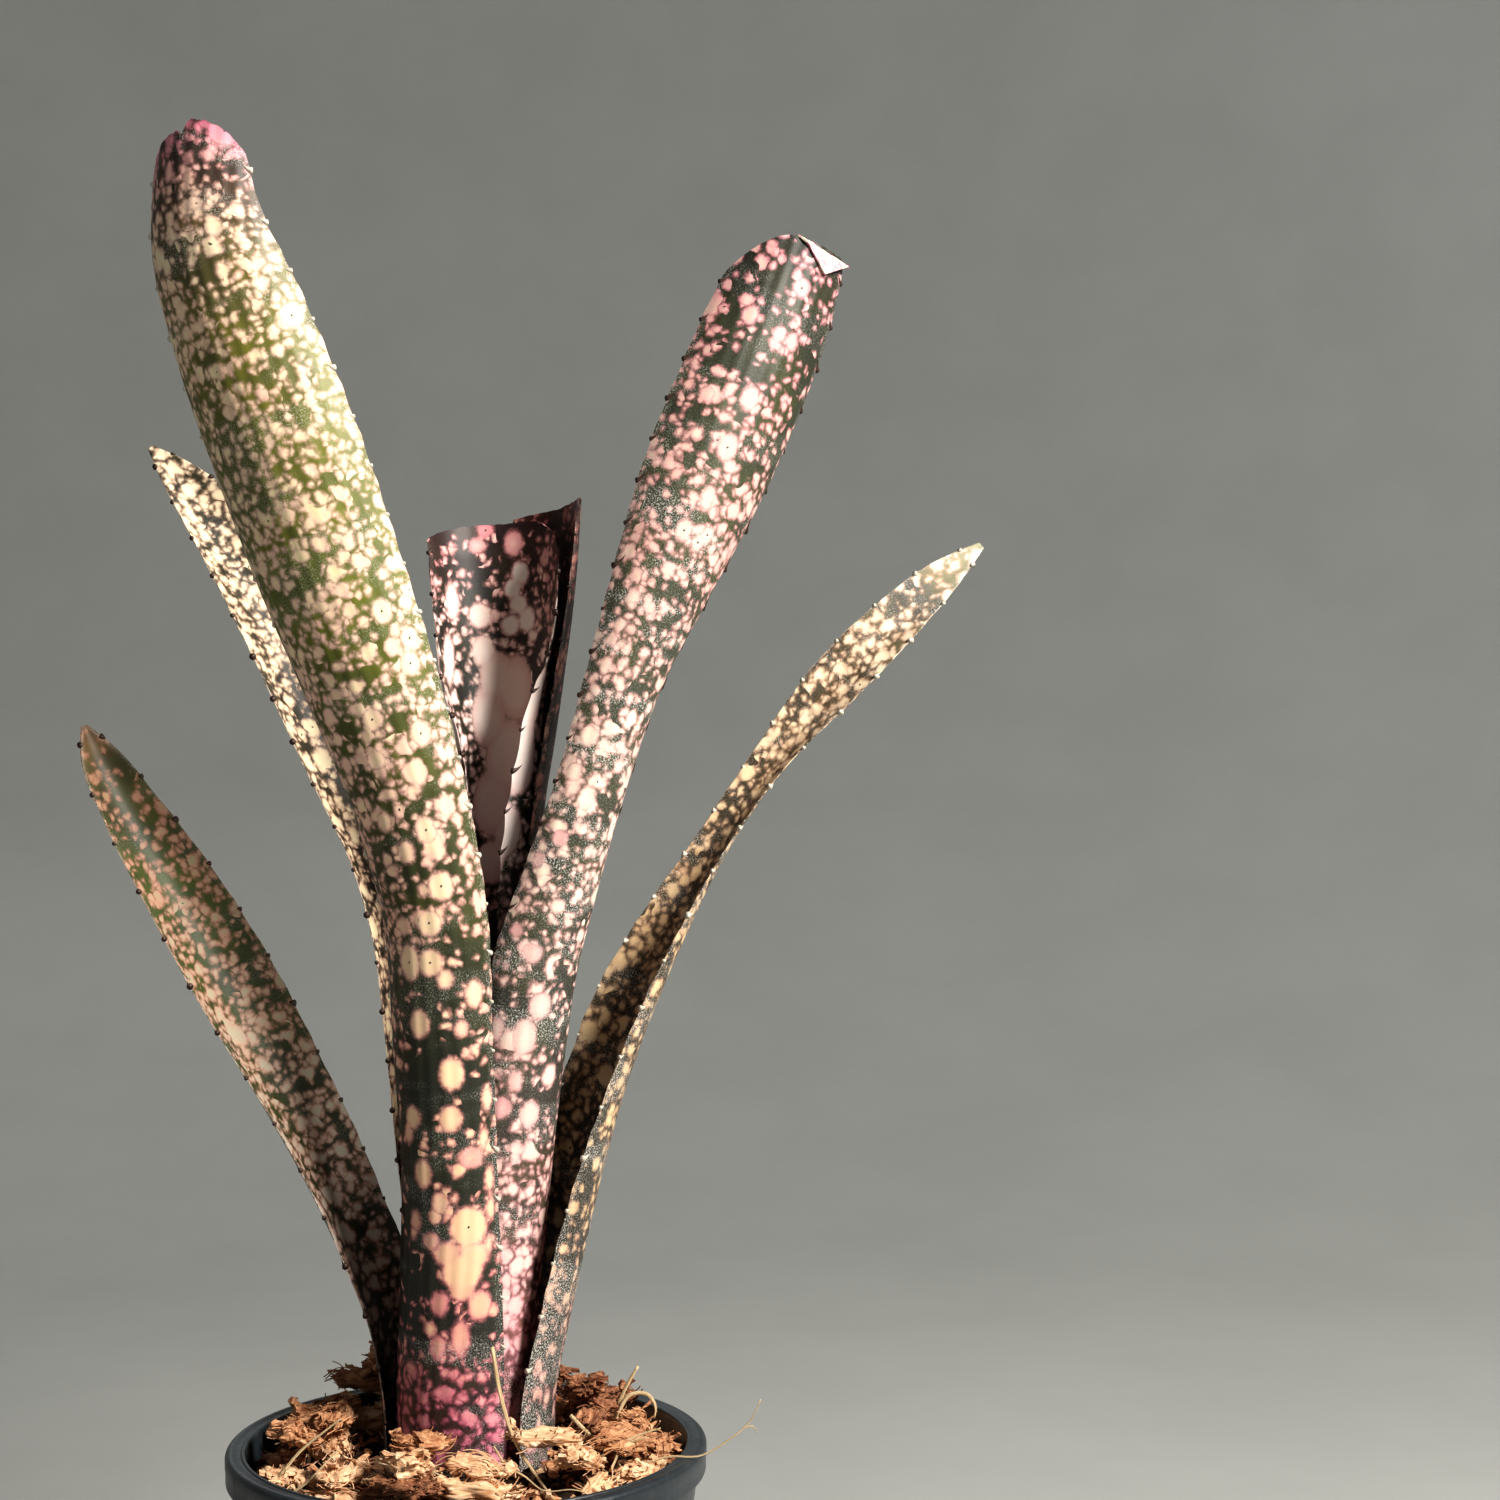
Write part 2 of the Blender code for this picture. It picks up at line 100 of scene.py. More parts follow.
class Graph:
    # a node tree, filled one node at a time
    def __init__(self, tree):
        self.tree = tree

    def add(self, kind, settings=None, values=None, out=0):
        node = self.tree.nodes.new(kind)
        for key, value in (settings or {}).items():
            if key == "stops":
                fillRamp(node.color_ramp, value)
            else:
                setattr(node, key, value)
        if not isinstance(values, dict):
            values = dict(enumerate(values or ()))
        for key, value in values.items():
            if isinstance(value, Wire):
                self.tree.links.new(value.socket, node.inputs[key])
            else:
                node.inputs[key].default_value = value
        return Wire(self, node.outputs[out]) if node.outputs else node

    def vector(self, operation, *values, out=0):
        return self.add("ShaderNodeVectorMath", {"operation": operation}, values, out)

    def scaled(self, wire, amount):
        return self.add("ShaderNodeVectorMath", {"operation": "SCALE"}, {0: wire, 3: amount})

    def mix(self, factor, first, second, blend="MIX"):
        first, second = [value if isinstance(value, Wire) else (*value, 1.0) for value in (first, second)]
        return self.add("ShaderNodeMix", {"data_type": "RGBA", "blend_type": blend},
                        {0: factor, 6: first, 7: second}, out=2)

    def ramp(self, factor, stops):
        return self.add("ShaderNodeValToRGB", {"stops": stops}, {0: factor})

    def cloud(self, vector, scale, detail=2.0, roughness=0.5, flat=False, out=0):
        return self.add("ShaderNodeTexNoise", {"noise_dimensions": "2D" if flat else "3D"},
                        {"Vector": vector, "Scale": scale, "Detail": detail, "Roughness": roughness}, out)

    def attribute(self, name, out=2):
        return self.add("ShaderNodeAttribute", {"attribute_name": name}, out=out)

    def objectPlace(self):
        return self.add("ShaderNodeTexCoord", out=3)

    def stretch(self, vector, scale, turn=(0.0, 0.0, 0.0)):
        return self.add("ShaderNodeMapping", None, {0: vector, 2: turn, 3: scale})

    def upward(self, vector):
        return self.add("ShaderNodeSeparateXYZ", None, [vector], out=2)

    def named(self, name):
        return self.add("GeometryNodeInputNamedAttribute", {"data_type": "FLOAT_VECTOR"}, [name])

    def random(self, low, high, seed):
        if isinstance(low, tuple):
            return self.add("FunctionNodeRandomValue", {"data_type": "FLOAT_VECTOR"},
                            {0: low, 1: high, 8: seed})
        return self.add("FunctionNodeRandomValue", {"data_type": "FLOAT"}, {2: low, 3: high, 8: seed}, out=1)


def fillRamp(ramp, stops):
    while len(ramp.elements) < len(stops):
        ramp.elements.new(0.5)
    for element, (place, tone) in zip(ramp.elements, stops):
        element.position = place
        element.color = (*tone, 1.0) if isinstance(tone, tuple) else (tone, tone, tone, 1.0)


def newFinish(name):
    # an empty material and the graph that fills it
    material = bpy.data.materials.new(name)
    material.use_nodes = True
    graph = Graph(material.node_tree)
    graph.material = material
    return graph


def dress(graph, colour, roughness, height=None, depth=0.2, strength=1.0, **constants):
    # sets what the surface shows; depth is the relief in millimetres
    shader = graph.tree.nodes["Principled BSDF"]
    values = {"Base Color": colour, "Roughness": roughness}
    if height is not None:
        values["Normal"] = graph.add("ShaderNodeBump", None,
                                     {"Strength": strength, "Distance": depth * mm, "Height": height})
    for key, value in values.items():
        if isinstance(value, Wire):
            graph.tree.links.new(value.socket, shader.inputs[key])
        else:
            shader.inputs[key].default_value = value
    for key, value in constants.items():
        shader.inputs[key].default_value = value
    return graph.material


socketKinds = {float: "NodeSocketFloat", int: "NodeSocketInt"}


def newRule(name, sizes):
    # an empty geometry tree with one named input for each size, and one for the finish
    tree = bpy.data.node_groups.new(name, "GeometryNodeTree")
    tree.interface.new_socket("shape", in_out="INPUT", socket_type="NodeSocketGeometry")
    for label, value in sizes.items():
        tree.interface.new_socket(label, in_out="INPUT", socket_type=socketKinds[type(value)])
    tree.interface.new_socket("finish", in_out="INPUT", socket_type="NodeSocketMaterial")
    tree.interface.new_socket("shape", in_out="OUTPUT", socket_type="NodeSocketGeometry")
    graph = Graph(tree)
    start = tree.nodes.new("NodeGroupInput")
    inputs = {socket.name: Wire(graph, socket) for socket in start.outputs if socket.name}
    return graph, inputs


def closeRule(graph, shape, finish):
    solid = graph.add("GeometryNodeRealizeInstances", None, [shape])
    coated = graph.add("GeometryNodeSetMaterial", None, {0: solid, 2: finish})
    end = graph.tree.nodes.new("NodeGroupOutput")
    graph.tree.links.new(coated.socket, end.inputs[0])


def grow(name, mesh, graph, sizes, finish):
    # runs a rule on a mesh and keeps the result as a plain mesh
    seed = bpy.data.objects.new(name + "_seed", mesh)
    bpy.context.scene.collection.objects.link(seed)
    modifier = seed.modifiers.new("rule", "NODES")
    modifier.node_group = graph.tree
    values = dict(sizes, finish=finish)
    for item in graph.tree.interface.items_tree:
        if item.item_type == "SOCKET" and item.in_out == "INPUT" and item.name in values:
            modifier[item.identifier] = values[item.name]
    shown = seed.evaluated_get(bpy.context.evaluated_depsgraph_get())
    result = bpy.data.meshes.new_from_object(shown)
    seed.modifiers.remove(modifier)
    bpy.data.objects.remove(seed, do_unlink=True)
    result.name = name
    return result


def keepVectors(mesh, name, vectors):
    mesh.attributes.new(name, "FLOAT_VECTOR", "POINT").data.foreach_set("vector", np.ravel(vectors))


def smooth(mesh, sharpFrom):
    # soft shading, with edges kept sharp from this angle in degrees
    mesh.shade_smooth()
    mesh.set_sharp_from_angle(angle=math.radians(sharpFrom))


def coat(mesh, *finishes):
    mesh.materials.clear()
    for finish in finishes:
        mesh.materials.append(finish)


def addPiece(name, mesh, nodes=()):
    piece = bpy.data.objects.new(name, mesh)
    bpy.context.scene.collection.objects.link(piece)
    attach(piece, "root")
    if nodes:
        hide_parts(*nodes)
    return piece


# the view
view = {"place": (0.065, -0.554, 0.259), "lens": 57.6, "sensor": 36.0}
lens = bpy.data.cameras.new("view")
lens.lens, lens.sensor_width, lens.clip_start = view["lens"], view["sensor"], 0.01
camera = bpy.data.objects.new("view", lens)
camera.location, camera.rotation_euler = view["place"], (math.pi / 2, 0.0, 0.0)
bpy.context.scene.collection.objects.link(camera)
bpy.context.scene.camera = camera
print("view ready")


# the pot, in millimetres
pot = {"rimRadius": 55.0, "height": 100.0, "baseRadius": 40.0, "wall": 1.8, "floor": 2.4, "rimWidth": 4.6,
       "band": 7.0, "overhang": 1.0, "round": 1.4, "lip": 0.55, "bead": 0.7}
potRule = {"sides": 176, "holeCount": 8, "holeRadius": 3.6 * mm, "holeRing": 27.0 * mm,
           "holeDepth": 12.0 * mm}


def arcPoints(centre, radius, start, end, count):
    angles = np.radians(np.linspace(start, end, count))
    return [(centre[0] + radius * math.cos(a), centre[1] + radius * math.sin(a)) for a in angles]


def potRadius(height):
    top = pot["rimRadius"] - pot["overhang"]
    return pot["baseRadius"] + (top - pot["baseRadius"]) * height / pot["height"]


def potProfile():
    # from the middle of the floor, up the inside, over the rim and down the outside
    top, rim, wall = pot["height"], pot["rimRadius"], pot["wall"]
    inner, under = rim - pot["rimWidth"], top - pot["band"]
    lip, bead, edge = pot["lip"], pot["bead"], pot["round"]
    line = [(0.0, pot["floor"]), (20.0, pot["floor"]), (potRadius(0) - wall - 2.2, pot["floor"])]
    line += [(potRadius(pot["floor"]) - wall - 0.4, pot["floor"] + 0.6), (potRadius(5) - wall, 5.0)]
    line += [(potRadius(h) - wall, h) for h in (30.0, 60.0, 88.0)]
    line += [(potRadius(under - 2) - wall, under - 2.0), (inner - 0.2, under - 0.4), (inner, under + 0.6)]
    line += [(inner, top - 1.5)]
    line += arcPoints((inner + lip, top - lip - 0.1), lip, 175, 20, 7)  # inner bead
    line += [(inner + 2 * lip + 0.3, top - 0.42), (rim - edge - 0.9, top - 0.34)]  # shallow dish of the rim
    line += arcPoints((rim - edge, top - edge), edge, 104, 0, 9)
    line += [(rim - 0.02, top - 3.2), (rim - 0.16, top - 3.5), (rim - 0.16, under + 1.2)]
    line += arcPoints((rim - 0.16 - bead, under + bead), bead, 0, -80, 5)
    line += [(potRadius(under) + 0.12, under - 0.05), (potRadius(under) - 0.05, under - 0.6)]
    line += [(potRadius(h), h) for h in (70.0, 45.0, 20.0, 4.0)]
    line += arcPoints((potRadius(0) - 1.1, 1.2), 1.2, 0, -85, 5)
    line += [(20.0, 0.0), (0.0, 0.0)]
    return line


def plasticFinish():
    g = newFinish("moulded pot plastic")
    place = g.objectPlace()
    haze = g.cloud(place, 60.0, 4.0, 0.6)
    grain = g.cloud(place, 2600.0, 2.0)
    streak = g.cloud(g.stretch(place, (1.0, 1.0, 0.12)), 900.0, 3.0)
    height = g.upward(place)
    dust = g.cloud(place, 420.0, 6.0, 0.7).step(0.56, 0.72) * height.step(0.06, 0.1, 0.15, 0.75)
    colour = g.mix(haze.step(0.3, 0.7), (0.016, 0.021, 0.026), (0.030, 0.037, 0.044))
    colour = g.mix(dust * 0.35, colour, (0.16, 0.15, 0.135))
    scuff = streak.step(0.5, 0.68)
    rough = haze * 0.14 + scuff * 0.1 + dust * 0.2 + 0.27
    relief = grain * 0.5 + streak * 0.4
    return dress(g, colour, rough, relief, depth=0.03, strength=0.5)


def buildPot():
    g, size = newRule("pot turned round its axis", potRule)
    outline = g.add("GeometryNodeMeshToCurve", None, [size["shape"]])
    ring = g.add("GeometryNodeCurvePrimitiveCircle", None, {"Resolution": size["sides"], "Radius": 1.0})
    shell = g.add("GeometryNodeCurveToMesh", None, [ring, outline])
    shell = g.add("GeometryNodeMergeByDistance", None, {0: shell, 2: 0.00001})
    places = g.add("GeometryNodeMeshCircle", None, [size["holeCount"], size["holeRing"]])
    punch = g.add("GeometryNodeMeshCylinder", None, {0: 28, 3: size["holeRadius"], 4: size["holeDepth"]})
    punches = g.add("GeometryNodeInstanceOnPoints", None, {0: places, 2: punch})
    punches = g.add("GeometryNodeRealizeInstances", None, [punches])
    shell = g.add("GeometryNodeMeshBoolean", {"operation": "DIFFERENCE", "solver": "EXACT"}, [shell, punches])
    closeRule(g, shell, size["finish"])
    line = potProfile()
    outlineMesh = bpy.data.meshes.new("pot outline")
    # the ring has a radius of one metre, so the outline lies that far inside it
    outlineMesh.from_pydata([(-(1.0 - r * mm), -h * mm, 0.0) for r, h in line],
                            [(i, i + 1) for i in range(len(line) - 1)], [])
    mesh = grow("pot_shell", outlineMesh, g, potRule, plasticFinish())
    smooth(mesh, 38)
    print("pot", len(mesh.vertices), "points")
    return addPiece("pot_shell", mesh, ["pot"])


# the leaves, in millimetres
leafGrain = {"row": 1.25, "column": 0.85, "thickness": 1.0, "marginThickness": 0.28, "swell": 0.10,
             "veins": 1.9, "scallop": 0.022, "innerOffset": 700.0}
leafLook = {"cream": (0.86, 0.84, 0.80), "speck": (0.10, 0.095, 0.070), "eye": (0.03, 0.022, 0.015),
            "scurf": (0.70, 0.69, 0.64), "innerScurf": 0.4, "wander": 2.2, "rough": 0.42, "relief": 0.14}

# stations from the base up: height, across, depth, width along the curl, then curl and heading in degrees
# spots, listed one by one: across, height, radius across, radius along, blush from 0 to 1, dark eye 0 or 1
# tones, blush, ground, scurf and crowd run from the base at 0 to the tip at 1
# crowd is how many large, middle and small spots there are
leaves = {
    "leaf_front_left": {
        "stations": [
            (74, -6, -9.5, 28, 140, -35), (96, -9, -13, 39, 140, -35), (130, -8.2, -14.5, 38, 143, -30),
            (160, -6.7, -17, 33.5, 146, -23), (192, -7.4, -19, 33.5, 146, -18),
            (221, -8.8, -22, 34.5, 142, -18),
            (247, -14.2, -26, 37.5, 138, -18), (273, -22.5, -31, 42.5, 136, -18),
            (299, -31.7, -36, 45.5, 134, -18),
            (324, -40, -40, 45.5, 130, -18), (350, -48.7, -43, 41.5, 124, -18),
            (369, -53.9, -44.5, 34.5, 116, -18),
            (382, -54.4, -45.2, 28, 108, -18), (393, -53.6, -45.7, 22, 102, -18)],
        "rosiness": 0.7, "haze": 0.08, "spineSpacing": 11.0, "spineLength": 1.9, "ragged": 0.5,
        "spots": [
            (2.3, 152.7, 4.3, 4.5, 0.1, 1), (-2.8, 146, 3.2, 2.8, 0.3, 0), (3.6, 145.6, 3.6, 3, 0.2, 0),
            (0.6, 142.4, 4.6, 4.2, 0.1, 0), (0.8, 138.6, 2.8, 2.8, 0.3, 0), (-6.4, 148.4, 2.1, 2, 0.5, 0),
            (4.6, 135, 2.7, 3.5, 0.35, 0), (-4.8, 134.6, 2.1, 2.7, 0.7, 0), (-5.1, 125, 2, 2.8, 0.5, 0),
            (0.5, 127.7, 2.1, 4, 0.45, 0), (-2.1, 176.4, 2.6, 2.9, 0.3, 0), (-10.5, 177, 2.3, 2.6, 0.2, 0),
            (-8.6, 164.4, 2.4, 3.2, 0.2, 0), (-4.4, 157, 2, 2.6, 0.3, 0), (2.8, 167.2, 3, 2.3, 0.9, 0),
            (-11.8, 172.6, 1.6, 2.3, 0.5, 0), (-1, 158.3, 0.9, 1, 0.3, 0), (-10.2, 153, 1.6, 2.4, 0.4, 0),
            (-1.2, 187, 2.8, 3.6, 0.15, 0), (-9, 197.6, 2.5, 3.1, 0.2, 0), (0.5, 196.7, 1.6, 1.8, 0.5, 0),
            (3.8, 204.3, 2.1, 3, 0.2, 0), (-2.9, 208.5, 1.9, 2, 0.2, 0), (-6, 212.3, 2.9, 3, 0.1, 1),
            (-10.8, 211.2, 2.6, 4.1, 0.1, 1), (-6.2, 220.3, 2.9, 2.9, 0.1, 1),
            (-3.5, 228.5, 2.9, 3.1, 0.1, 1),
            (-16, 243, 2, 2.3, 0.2, 0), (-11.2, 236.8, 2, 2.5, 0.2, 0), (-6, 240.8, 2.2, 3.2, 0.1, 1),
            (-1.8, 247, 2, 2.5, 0.1, 0), (-17, 257, 2.2, 2.4, 0.2, 0), (-7.5, 263, 2.4, 2.8, 0.2, 1),
            (-9.5, 278, 2.4, 2.6, 0.1, 1), (-9, 283, 2.2, 2.4, 0.1, 1), (-14.5, 289, 2.3, 2.6, 0.1, 1),
            (-17.5, 266, 2.3, 2.6, 0.2, 1), (-46, 391, 3.6, 3.2, 0.2, 1), (-33, 352, 3, 2.8, 0.1, 1),
            (6, 181, 1.3, 2.6, 0.1, 0), (5.2, 171.4, 1.1, 2.4, 0.1, 0), (6.5, 162.5, 1.2, 2.6, 0.1, 0),
            (6.8, 156.4, 1.2, 2.4, 0.1, 0), (6.6, 148, 1.2, 1.9, 0.2, 0)],
        "tones": [(0.0, (0.66, 0.20, 0.36)), (0.1, (0.82, 0.34, 0.40)), (0.17, (0.86, 0.54, 0.34)),
                  (0.32, (0.88, 0.64, 0.38)), (0.55, (0.86, 0.66, 0.44)), (0.75, (0.80, 0.72, 0.40)),
                  (0.93, (0.86, 0.74, 0.48)), (0.975, (0.84, 0.50, 0.44)), (1.0, (0.76, 0.26, 0.34))],
        "blush": [(0.0, (0.50, 0.06, 0.20)), (0.12, (0.62, 0.14, 0.22)), (0.3, (0.72, 0.30, 0.27)),
                  (0.6, (0.80, 0.46, 0.42)), (0.95, (0.78, 0.48, 0.38)), (1.0, (0.68, 0.18, 0.27))],
        "ground": [(0.0, (0.10, 0.020, 0.045)), (0.08, (0.055, 0.022, 0.030)),
                   (0.16, (0.013, 0.013, 0.010)),
                   (0.36, (0.014, 0.016, 0.008)), (0.52, (0.042, 0.046, 0.010)),
                   (0.68, (0.095, 0.108, 0.015)),
                   (0.86, (0.10, 0.098, 0.020)), (0.95, (0.06, 0.036, 0.024)), (1.0, (0.03, 0.018, 0.016))],
        "crowd": [(0.0, (0.6, 0.9, 0.95)), (0.12, (0.5, 0.85, 0.9)), (0.19, (0.0, 0.10, 0.15)),
                  (0.36, (0.05, 0.32, 0.32)), (0.46, (0.3, 0.65, 0.7)), (0.6, (0.4, 0.85, 0.9)),
                  (0.8, (0.45, 0.85, 0.9)), (1.0, (0.4, 0.8, 0.8))],
        "scurf": [(0.0, 0.25), (0.12, 0.5), (0.3, 0.25), (0.6, 0.22),
                  (0.9, 0.35), (1.0, 0.5)],
        "innerSpots": False},
    "leaf_front_right": {
        "stations": [
            (74, 8, -5.5, 26, 150, 45), (96, 11.5, -9, 37.5, 150, 45), (130, 12, -8, 36, 150, 44),
            (160, 14.5, -7.5, 35, 150, 42), (190, 18, -9.5, 32, 150, 39), (210, 21, -11, 31, 150, 38),
            (228, 26, -12, 28, 150, 38), (251, 33, -13, 25.5, 148, 38), (274, 40, -13, 27, 145, 35),
            (297, 49, -13, 33.5, 140, 30), (320, 58, -11.5, 38.5, 130, 26), (342, 66.3, -9, 38, 122, 22),
            (360, 72.5, -6.5, 34.5, 112, 18), (370, 75.8, -5, 30, 104, 16), (376.5, 78, -4.3, 26, 98, 16)],
        # its haze lays an even pale film: partly real scurf, partly painted sheen
        "rosiness": 0.5, "haze": 0.26, "spineSpacing": 10.0, "spineLength": 3.0, "ragged": 0.25,
        "spots": [
            (17.1, 234.2, 1.5, 1.9, 0.8, 0), (22.6, 239.4, 1.8, 1.9, 0.9, 0), (28, 247.7, 2, 3, 0.0, 0),
            (25.5, 254.3, 2.1, 2.3, 0.3, 0), (21.6, 224, 1.7, 1.7, 0.2, 0), (12.6, 218.7, 1.6, 1.5, 0.9, 0),
            (15.9, 212.8, 2.5, 2.1, 0.8, 0), (17.7, 201.3, 2.6, 3.1, 0.6, 0),
            (14.1, 193.4, 2.8, 4.2, 0.5, 0),
            (8, 195.5, 1.8, 2.8, 0.6, 0), (12, 184.6, 1.7, 2.4, 0.6, 0), (19.3, 185.3, 2.3, 2.6, 0.3, 0),
            (15, 176, 2.5, 3.2, 0.5, 0), (9, 178.5, 2.2, 2.4, 0.9, 0), (76.7, 364.5, 2.1, 2.2, 0.5, 1),
            (65.2, 358.5, 1.8, 2.4, 0.2, 0), (60.1, 328, 2.4, 3.2, 0.3, 1), (65, 338.2, 2.2, 3, 0.2, 0),
            (55.6, 339, 1.8, 2, 0.3, 0), (55, 315.4, 1.7, 2.8, 0.2, 0), (50.5, 308.6, 1.8, 2.6, 0.1, 1),
            (53.4, 306.3, 1.5, 2.2, 0.1, 1), (55.4, 308, 1.5, 2.2, 0.1, 1), (74.1, 352, 1.7, 2.2, 0.3, 0),
            (29, 262, 2.2, 2.4, 0.1, 0)],
        # towards the tip the tones and ground darken and the crowd thins: partly the blade's own pattern,
        # partly painted shade on the unlit upper blade
        "tones": [(0.0, (0.74, 0.34, 0.42)), (0.12, (0.84, 0.50, 0.50)), (0.3, (0.88, 0.68, 0.56)),
                  (0.5, (0.90, 0.76, 0.60)), (0.75, (0.74, 0.54, 0.43)), (1.0, (0.56, 0.38, 0.31))],
        "blush": [(0.0, (0.58, 0.16, 0.26)), (0.25, (0.70, 0.32, 0.34)), (0.6, (0.76, 0.40, 0.38)),
                  (0.85, (0.70, 0.28, 0.30)), (1.0, (0.68, 0.24, 0.30))],
        "ground": [(0.0, (0.17, 0.045, 0.085)), (0.14, (0.13, 0.045, 0.06)), (0.26, (0.05, 0.035, 0.03)),
                   (0.4, (0.030, 0.030, 0.022)), (0.6, (0.036, 0.038, 0.022)),
                   (0.85, (0.030, 0.034, 0.016)),
                   (1.0, (0.012, 0.012, 0.009))],
        "crowd": [(0.0, (0.8, 1.0, 1.0)), (0.24, (0.75, 1.0, 1.0)), (0.30, (0.1, 0.35, 0.8)),
                  (0.37, (0.0, 0.3, 0.4)), (0.48, (0.25, 0.8, 0.75)), (0.6, (0.3, 0.95, 0.95)),
                  (0.75, (0.2, 0.75, 0.85)), (0.88, (0.1, 0.5, 0.6)), (1.0, (0.0, 0.3, 0.35))],
        "scurf": [(0.0, 0.55), (0.15, 0.6), (0.28, 0.35), (0.42, 0.75),
                  (0.72, 0.7), (0.85, 0.25), (1.0, 0.1)],
        "innerSpots": False},
    "leaf_centre": {
        "stations": [
            (74, 0.7, 7.1, 29, 270, 175), (96, 1.1, 11.6, 50, 270, 175), (112, 1.3, 11.7, 49, 270, 175),
            (142, 1.9, 12.3, 47.5, 270, 175), (175, 4.1, 12.9, 47, 285, 174), (205, 5.9, 13, 49, 315, 172),
            (229, 7, 13.3, 51, 325, 172), (248, 7.5, 13.9, 51, 304, 172), (262, 9, 14.3, 47, 262, 166),
            (275, 8.3, 16, 45.5, 205, 168), (290, 8.3, 17.1, 47, 182, 170),
            (303, 7.8, 17.6, 46.5, 168, 170),
            (314, 7.2, 17.8, 46, 160, 170)],
        "rosiness": 0.9, "haze": 0.04, "spineSpacing": 9.5, "spineLength": 2.5, "ragged": 0.35,
        "spots": [
            (9.4, 308.7, 2.4, 3, 0.8, 0), (1.7, 311.2, 1.9, 1.7, 1.0, 1), (0.2, 307.3, 2.1, 1.8, 0.8, 0),
            (0.9, 290.7, 3, 3.2, 0.3, 0), (-5.9, 294, 2.2, 4.8, 0.4, 0), (10.9, 300.6, 2.5, 2.9, -0.6, 0),
            (8.7, 296.6, 2.3, 2.5, -0.6, 0), (10.6, 293.4, 2.6, 2.4, -0.6, 0),
            (8.2, 289, 2.6, 2.5, -0.6, 0),
            (12.6, 290, 2.6, 3, -0.5, 0), (1.6, 283, 3, 3.8, 0.4, 0), (5, 276.5, 4.8, 6, 0.6, 0),
            (9.5, 274, 5, 8, 0.65, 0), (3, 266, 4.6, 8, 0.7, 0), (8, 258, 5.8, 9, 0.6, 0),
            (4, 247, 5.6, 7.6, 0.65, 0),
            (9, 240, 4.8, 6.6, 0.4, 0), (3.6, 233, 4.5, 5, 0.4, 0), (-6.6, 280, 2.2, 6, 0.5, 0)],
        # the pale middle tones are partly the inner face's own mauve cream, partly painted light standing in
        # for light shining through the blade
        "tones": [(0.0, (0.66, 0.30, 0.36)), (0.45, (0.92, 0.70, 0.70)), (0.8, (0.92, 0.88, 0.82)),
                  (1.0, (0.84, 0.62, 0.52))],
        "blush": [(0.0, (0.46, 0.12, 0.18)), (0.5, (0.68, 0.40, 0.42)), (0.85, (0.66, 0.40, 0.36)),
                  (1.0, (0.62, 0.22, 0.24))],
        "ground": [(0.0, (0.06, 0.02, 0.025)), (0.7, (0.012, 0.014, 0.010)), (0.93, (0.014, 0.012, 0.010)),
                   (1.0, (0.018, 0.005, 0.006))],
        "crowd": [(0.0, (0.4, 0.7, 0.6)), (0.6, (0.6, 0.9, 0.7)), (0.85, (0.1, 0.6, 0.8)),
                  (0.94, (0.0, 0.6, 0.9)), (0.97, (0.0, 0.2, 0.3)), (1.0, (0.0, 0.1, 0.2))],
        "scurf": [(0.0, 0.2), (1.0, 0.1)],
        "innerSpots": True},
    "leaf_back_centre": {
        "stations": [
            (74, 4.2, 7.7, 27.5, 200, 150), (96, 6.4, 11.6, 43.3, 200, 150),
            (112, 6.5, 11.8, 42.6, 200, 150),
            (142, 6.9, 12.4, 41.2, 200, 150), (175, 8.9, 13.3, 39, 200, 150),
            (205, 10, 13.7, 37.4, 200, 151),
            (229, 10.8, 13.9, 36.8, 198, 151), (248, 12.5, 13.8, 36.5, 185, 146),
            (262, 15.2, 14, 36.8, 168, 140),
            (275, 17.6, 14.5, 36.5, 140, 133), (290, 19.6, 15, 36.5, 126, 131),
            (305, 21.2, 14.9, 35.5, 110, 128),
            (319, 23, 13.7, 30, 90, 122)],
        "rosiness": 0.8, "haze": 0.1, "spineSpacing": 12.0, "spineLength": 1.7, "ragged": 0.3,
        "spots": [],
        "tones": [(0.0, (0.60, 0.26, 0.26)), (0.5, (0.62, 0.34, 0.20)), (1.0, (0.66, 0.42, 0.28))],
        "blush": [(0.0, (0.40, 0.08, 0.12)), (1.0, (0.46, 0.13, 0.13))],
        "ground": [(0.0, (0.05, 0.02, 0.02)), (0.6, (0.022, 0.012, 0.010)), (1.0, (0.035, 0.007, 0.008))],
        "crowd": [(0.0, (0.3, 0.5, 0.4)), (0.6, (0.35, 0.55, 0.4)), (1.0, (0.15, 0.5, 0.45))],
        "scurf": [(0.0, 0.3), (1.0, 0.3)],
        "innerSpots": True},
    "leaf_back_left": {
        "stations": [
            (74, -5.6, 9, 21.5, 125, -145), (96, -8.3, 12.4, 31, 125, -145),
            (115, -8.3, 12.6, 31, 125, -145),
            (142, -8.6, 13.6, 29.5, 125, -146), (171, -12.9, 16.2, 25.5, 130, -148),
            (197, -15.8, 17.5, 25.5, 138, -150), (215, -18.7, 20, 26, 143, -150),
            (232, -24.5, 24, 24.5, 145, -150),
            (260, -38.5, 29, 23.7, 140, -150), (290, -53, 34, 24, 130, -150),
            (310, -64.5, 38, 20, 114, -150),
            (325, -75.5, 41, 12, 92, -150), (334, -83.8, 42, 2, 60, -150)],
        "rosiness": 0.3, "haze": 0.1, "spineSpacing": 11.0, "spineLength": 1.6, "ragged": 0.0,
        "spots": [],
        "tones": [(0.0, (0.60, 0.40, 0.26)), (0.4, (0.74, 0.60, 0.38)), (1.0, (0.85, 0.74, 0.52))],
        "blush": [(0.0, (0.34, 0.14, 0.12)), (1.0, (0.62, 0.42, 0.30))],
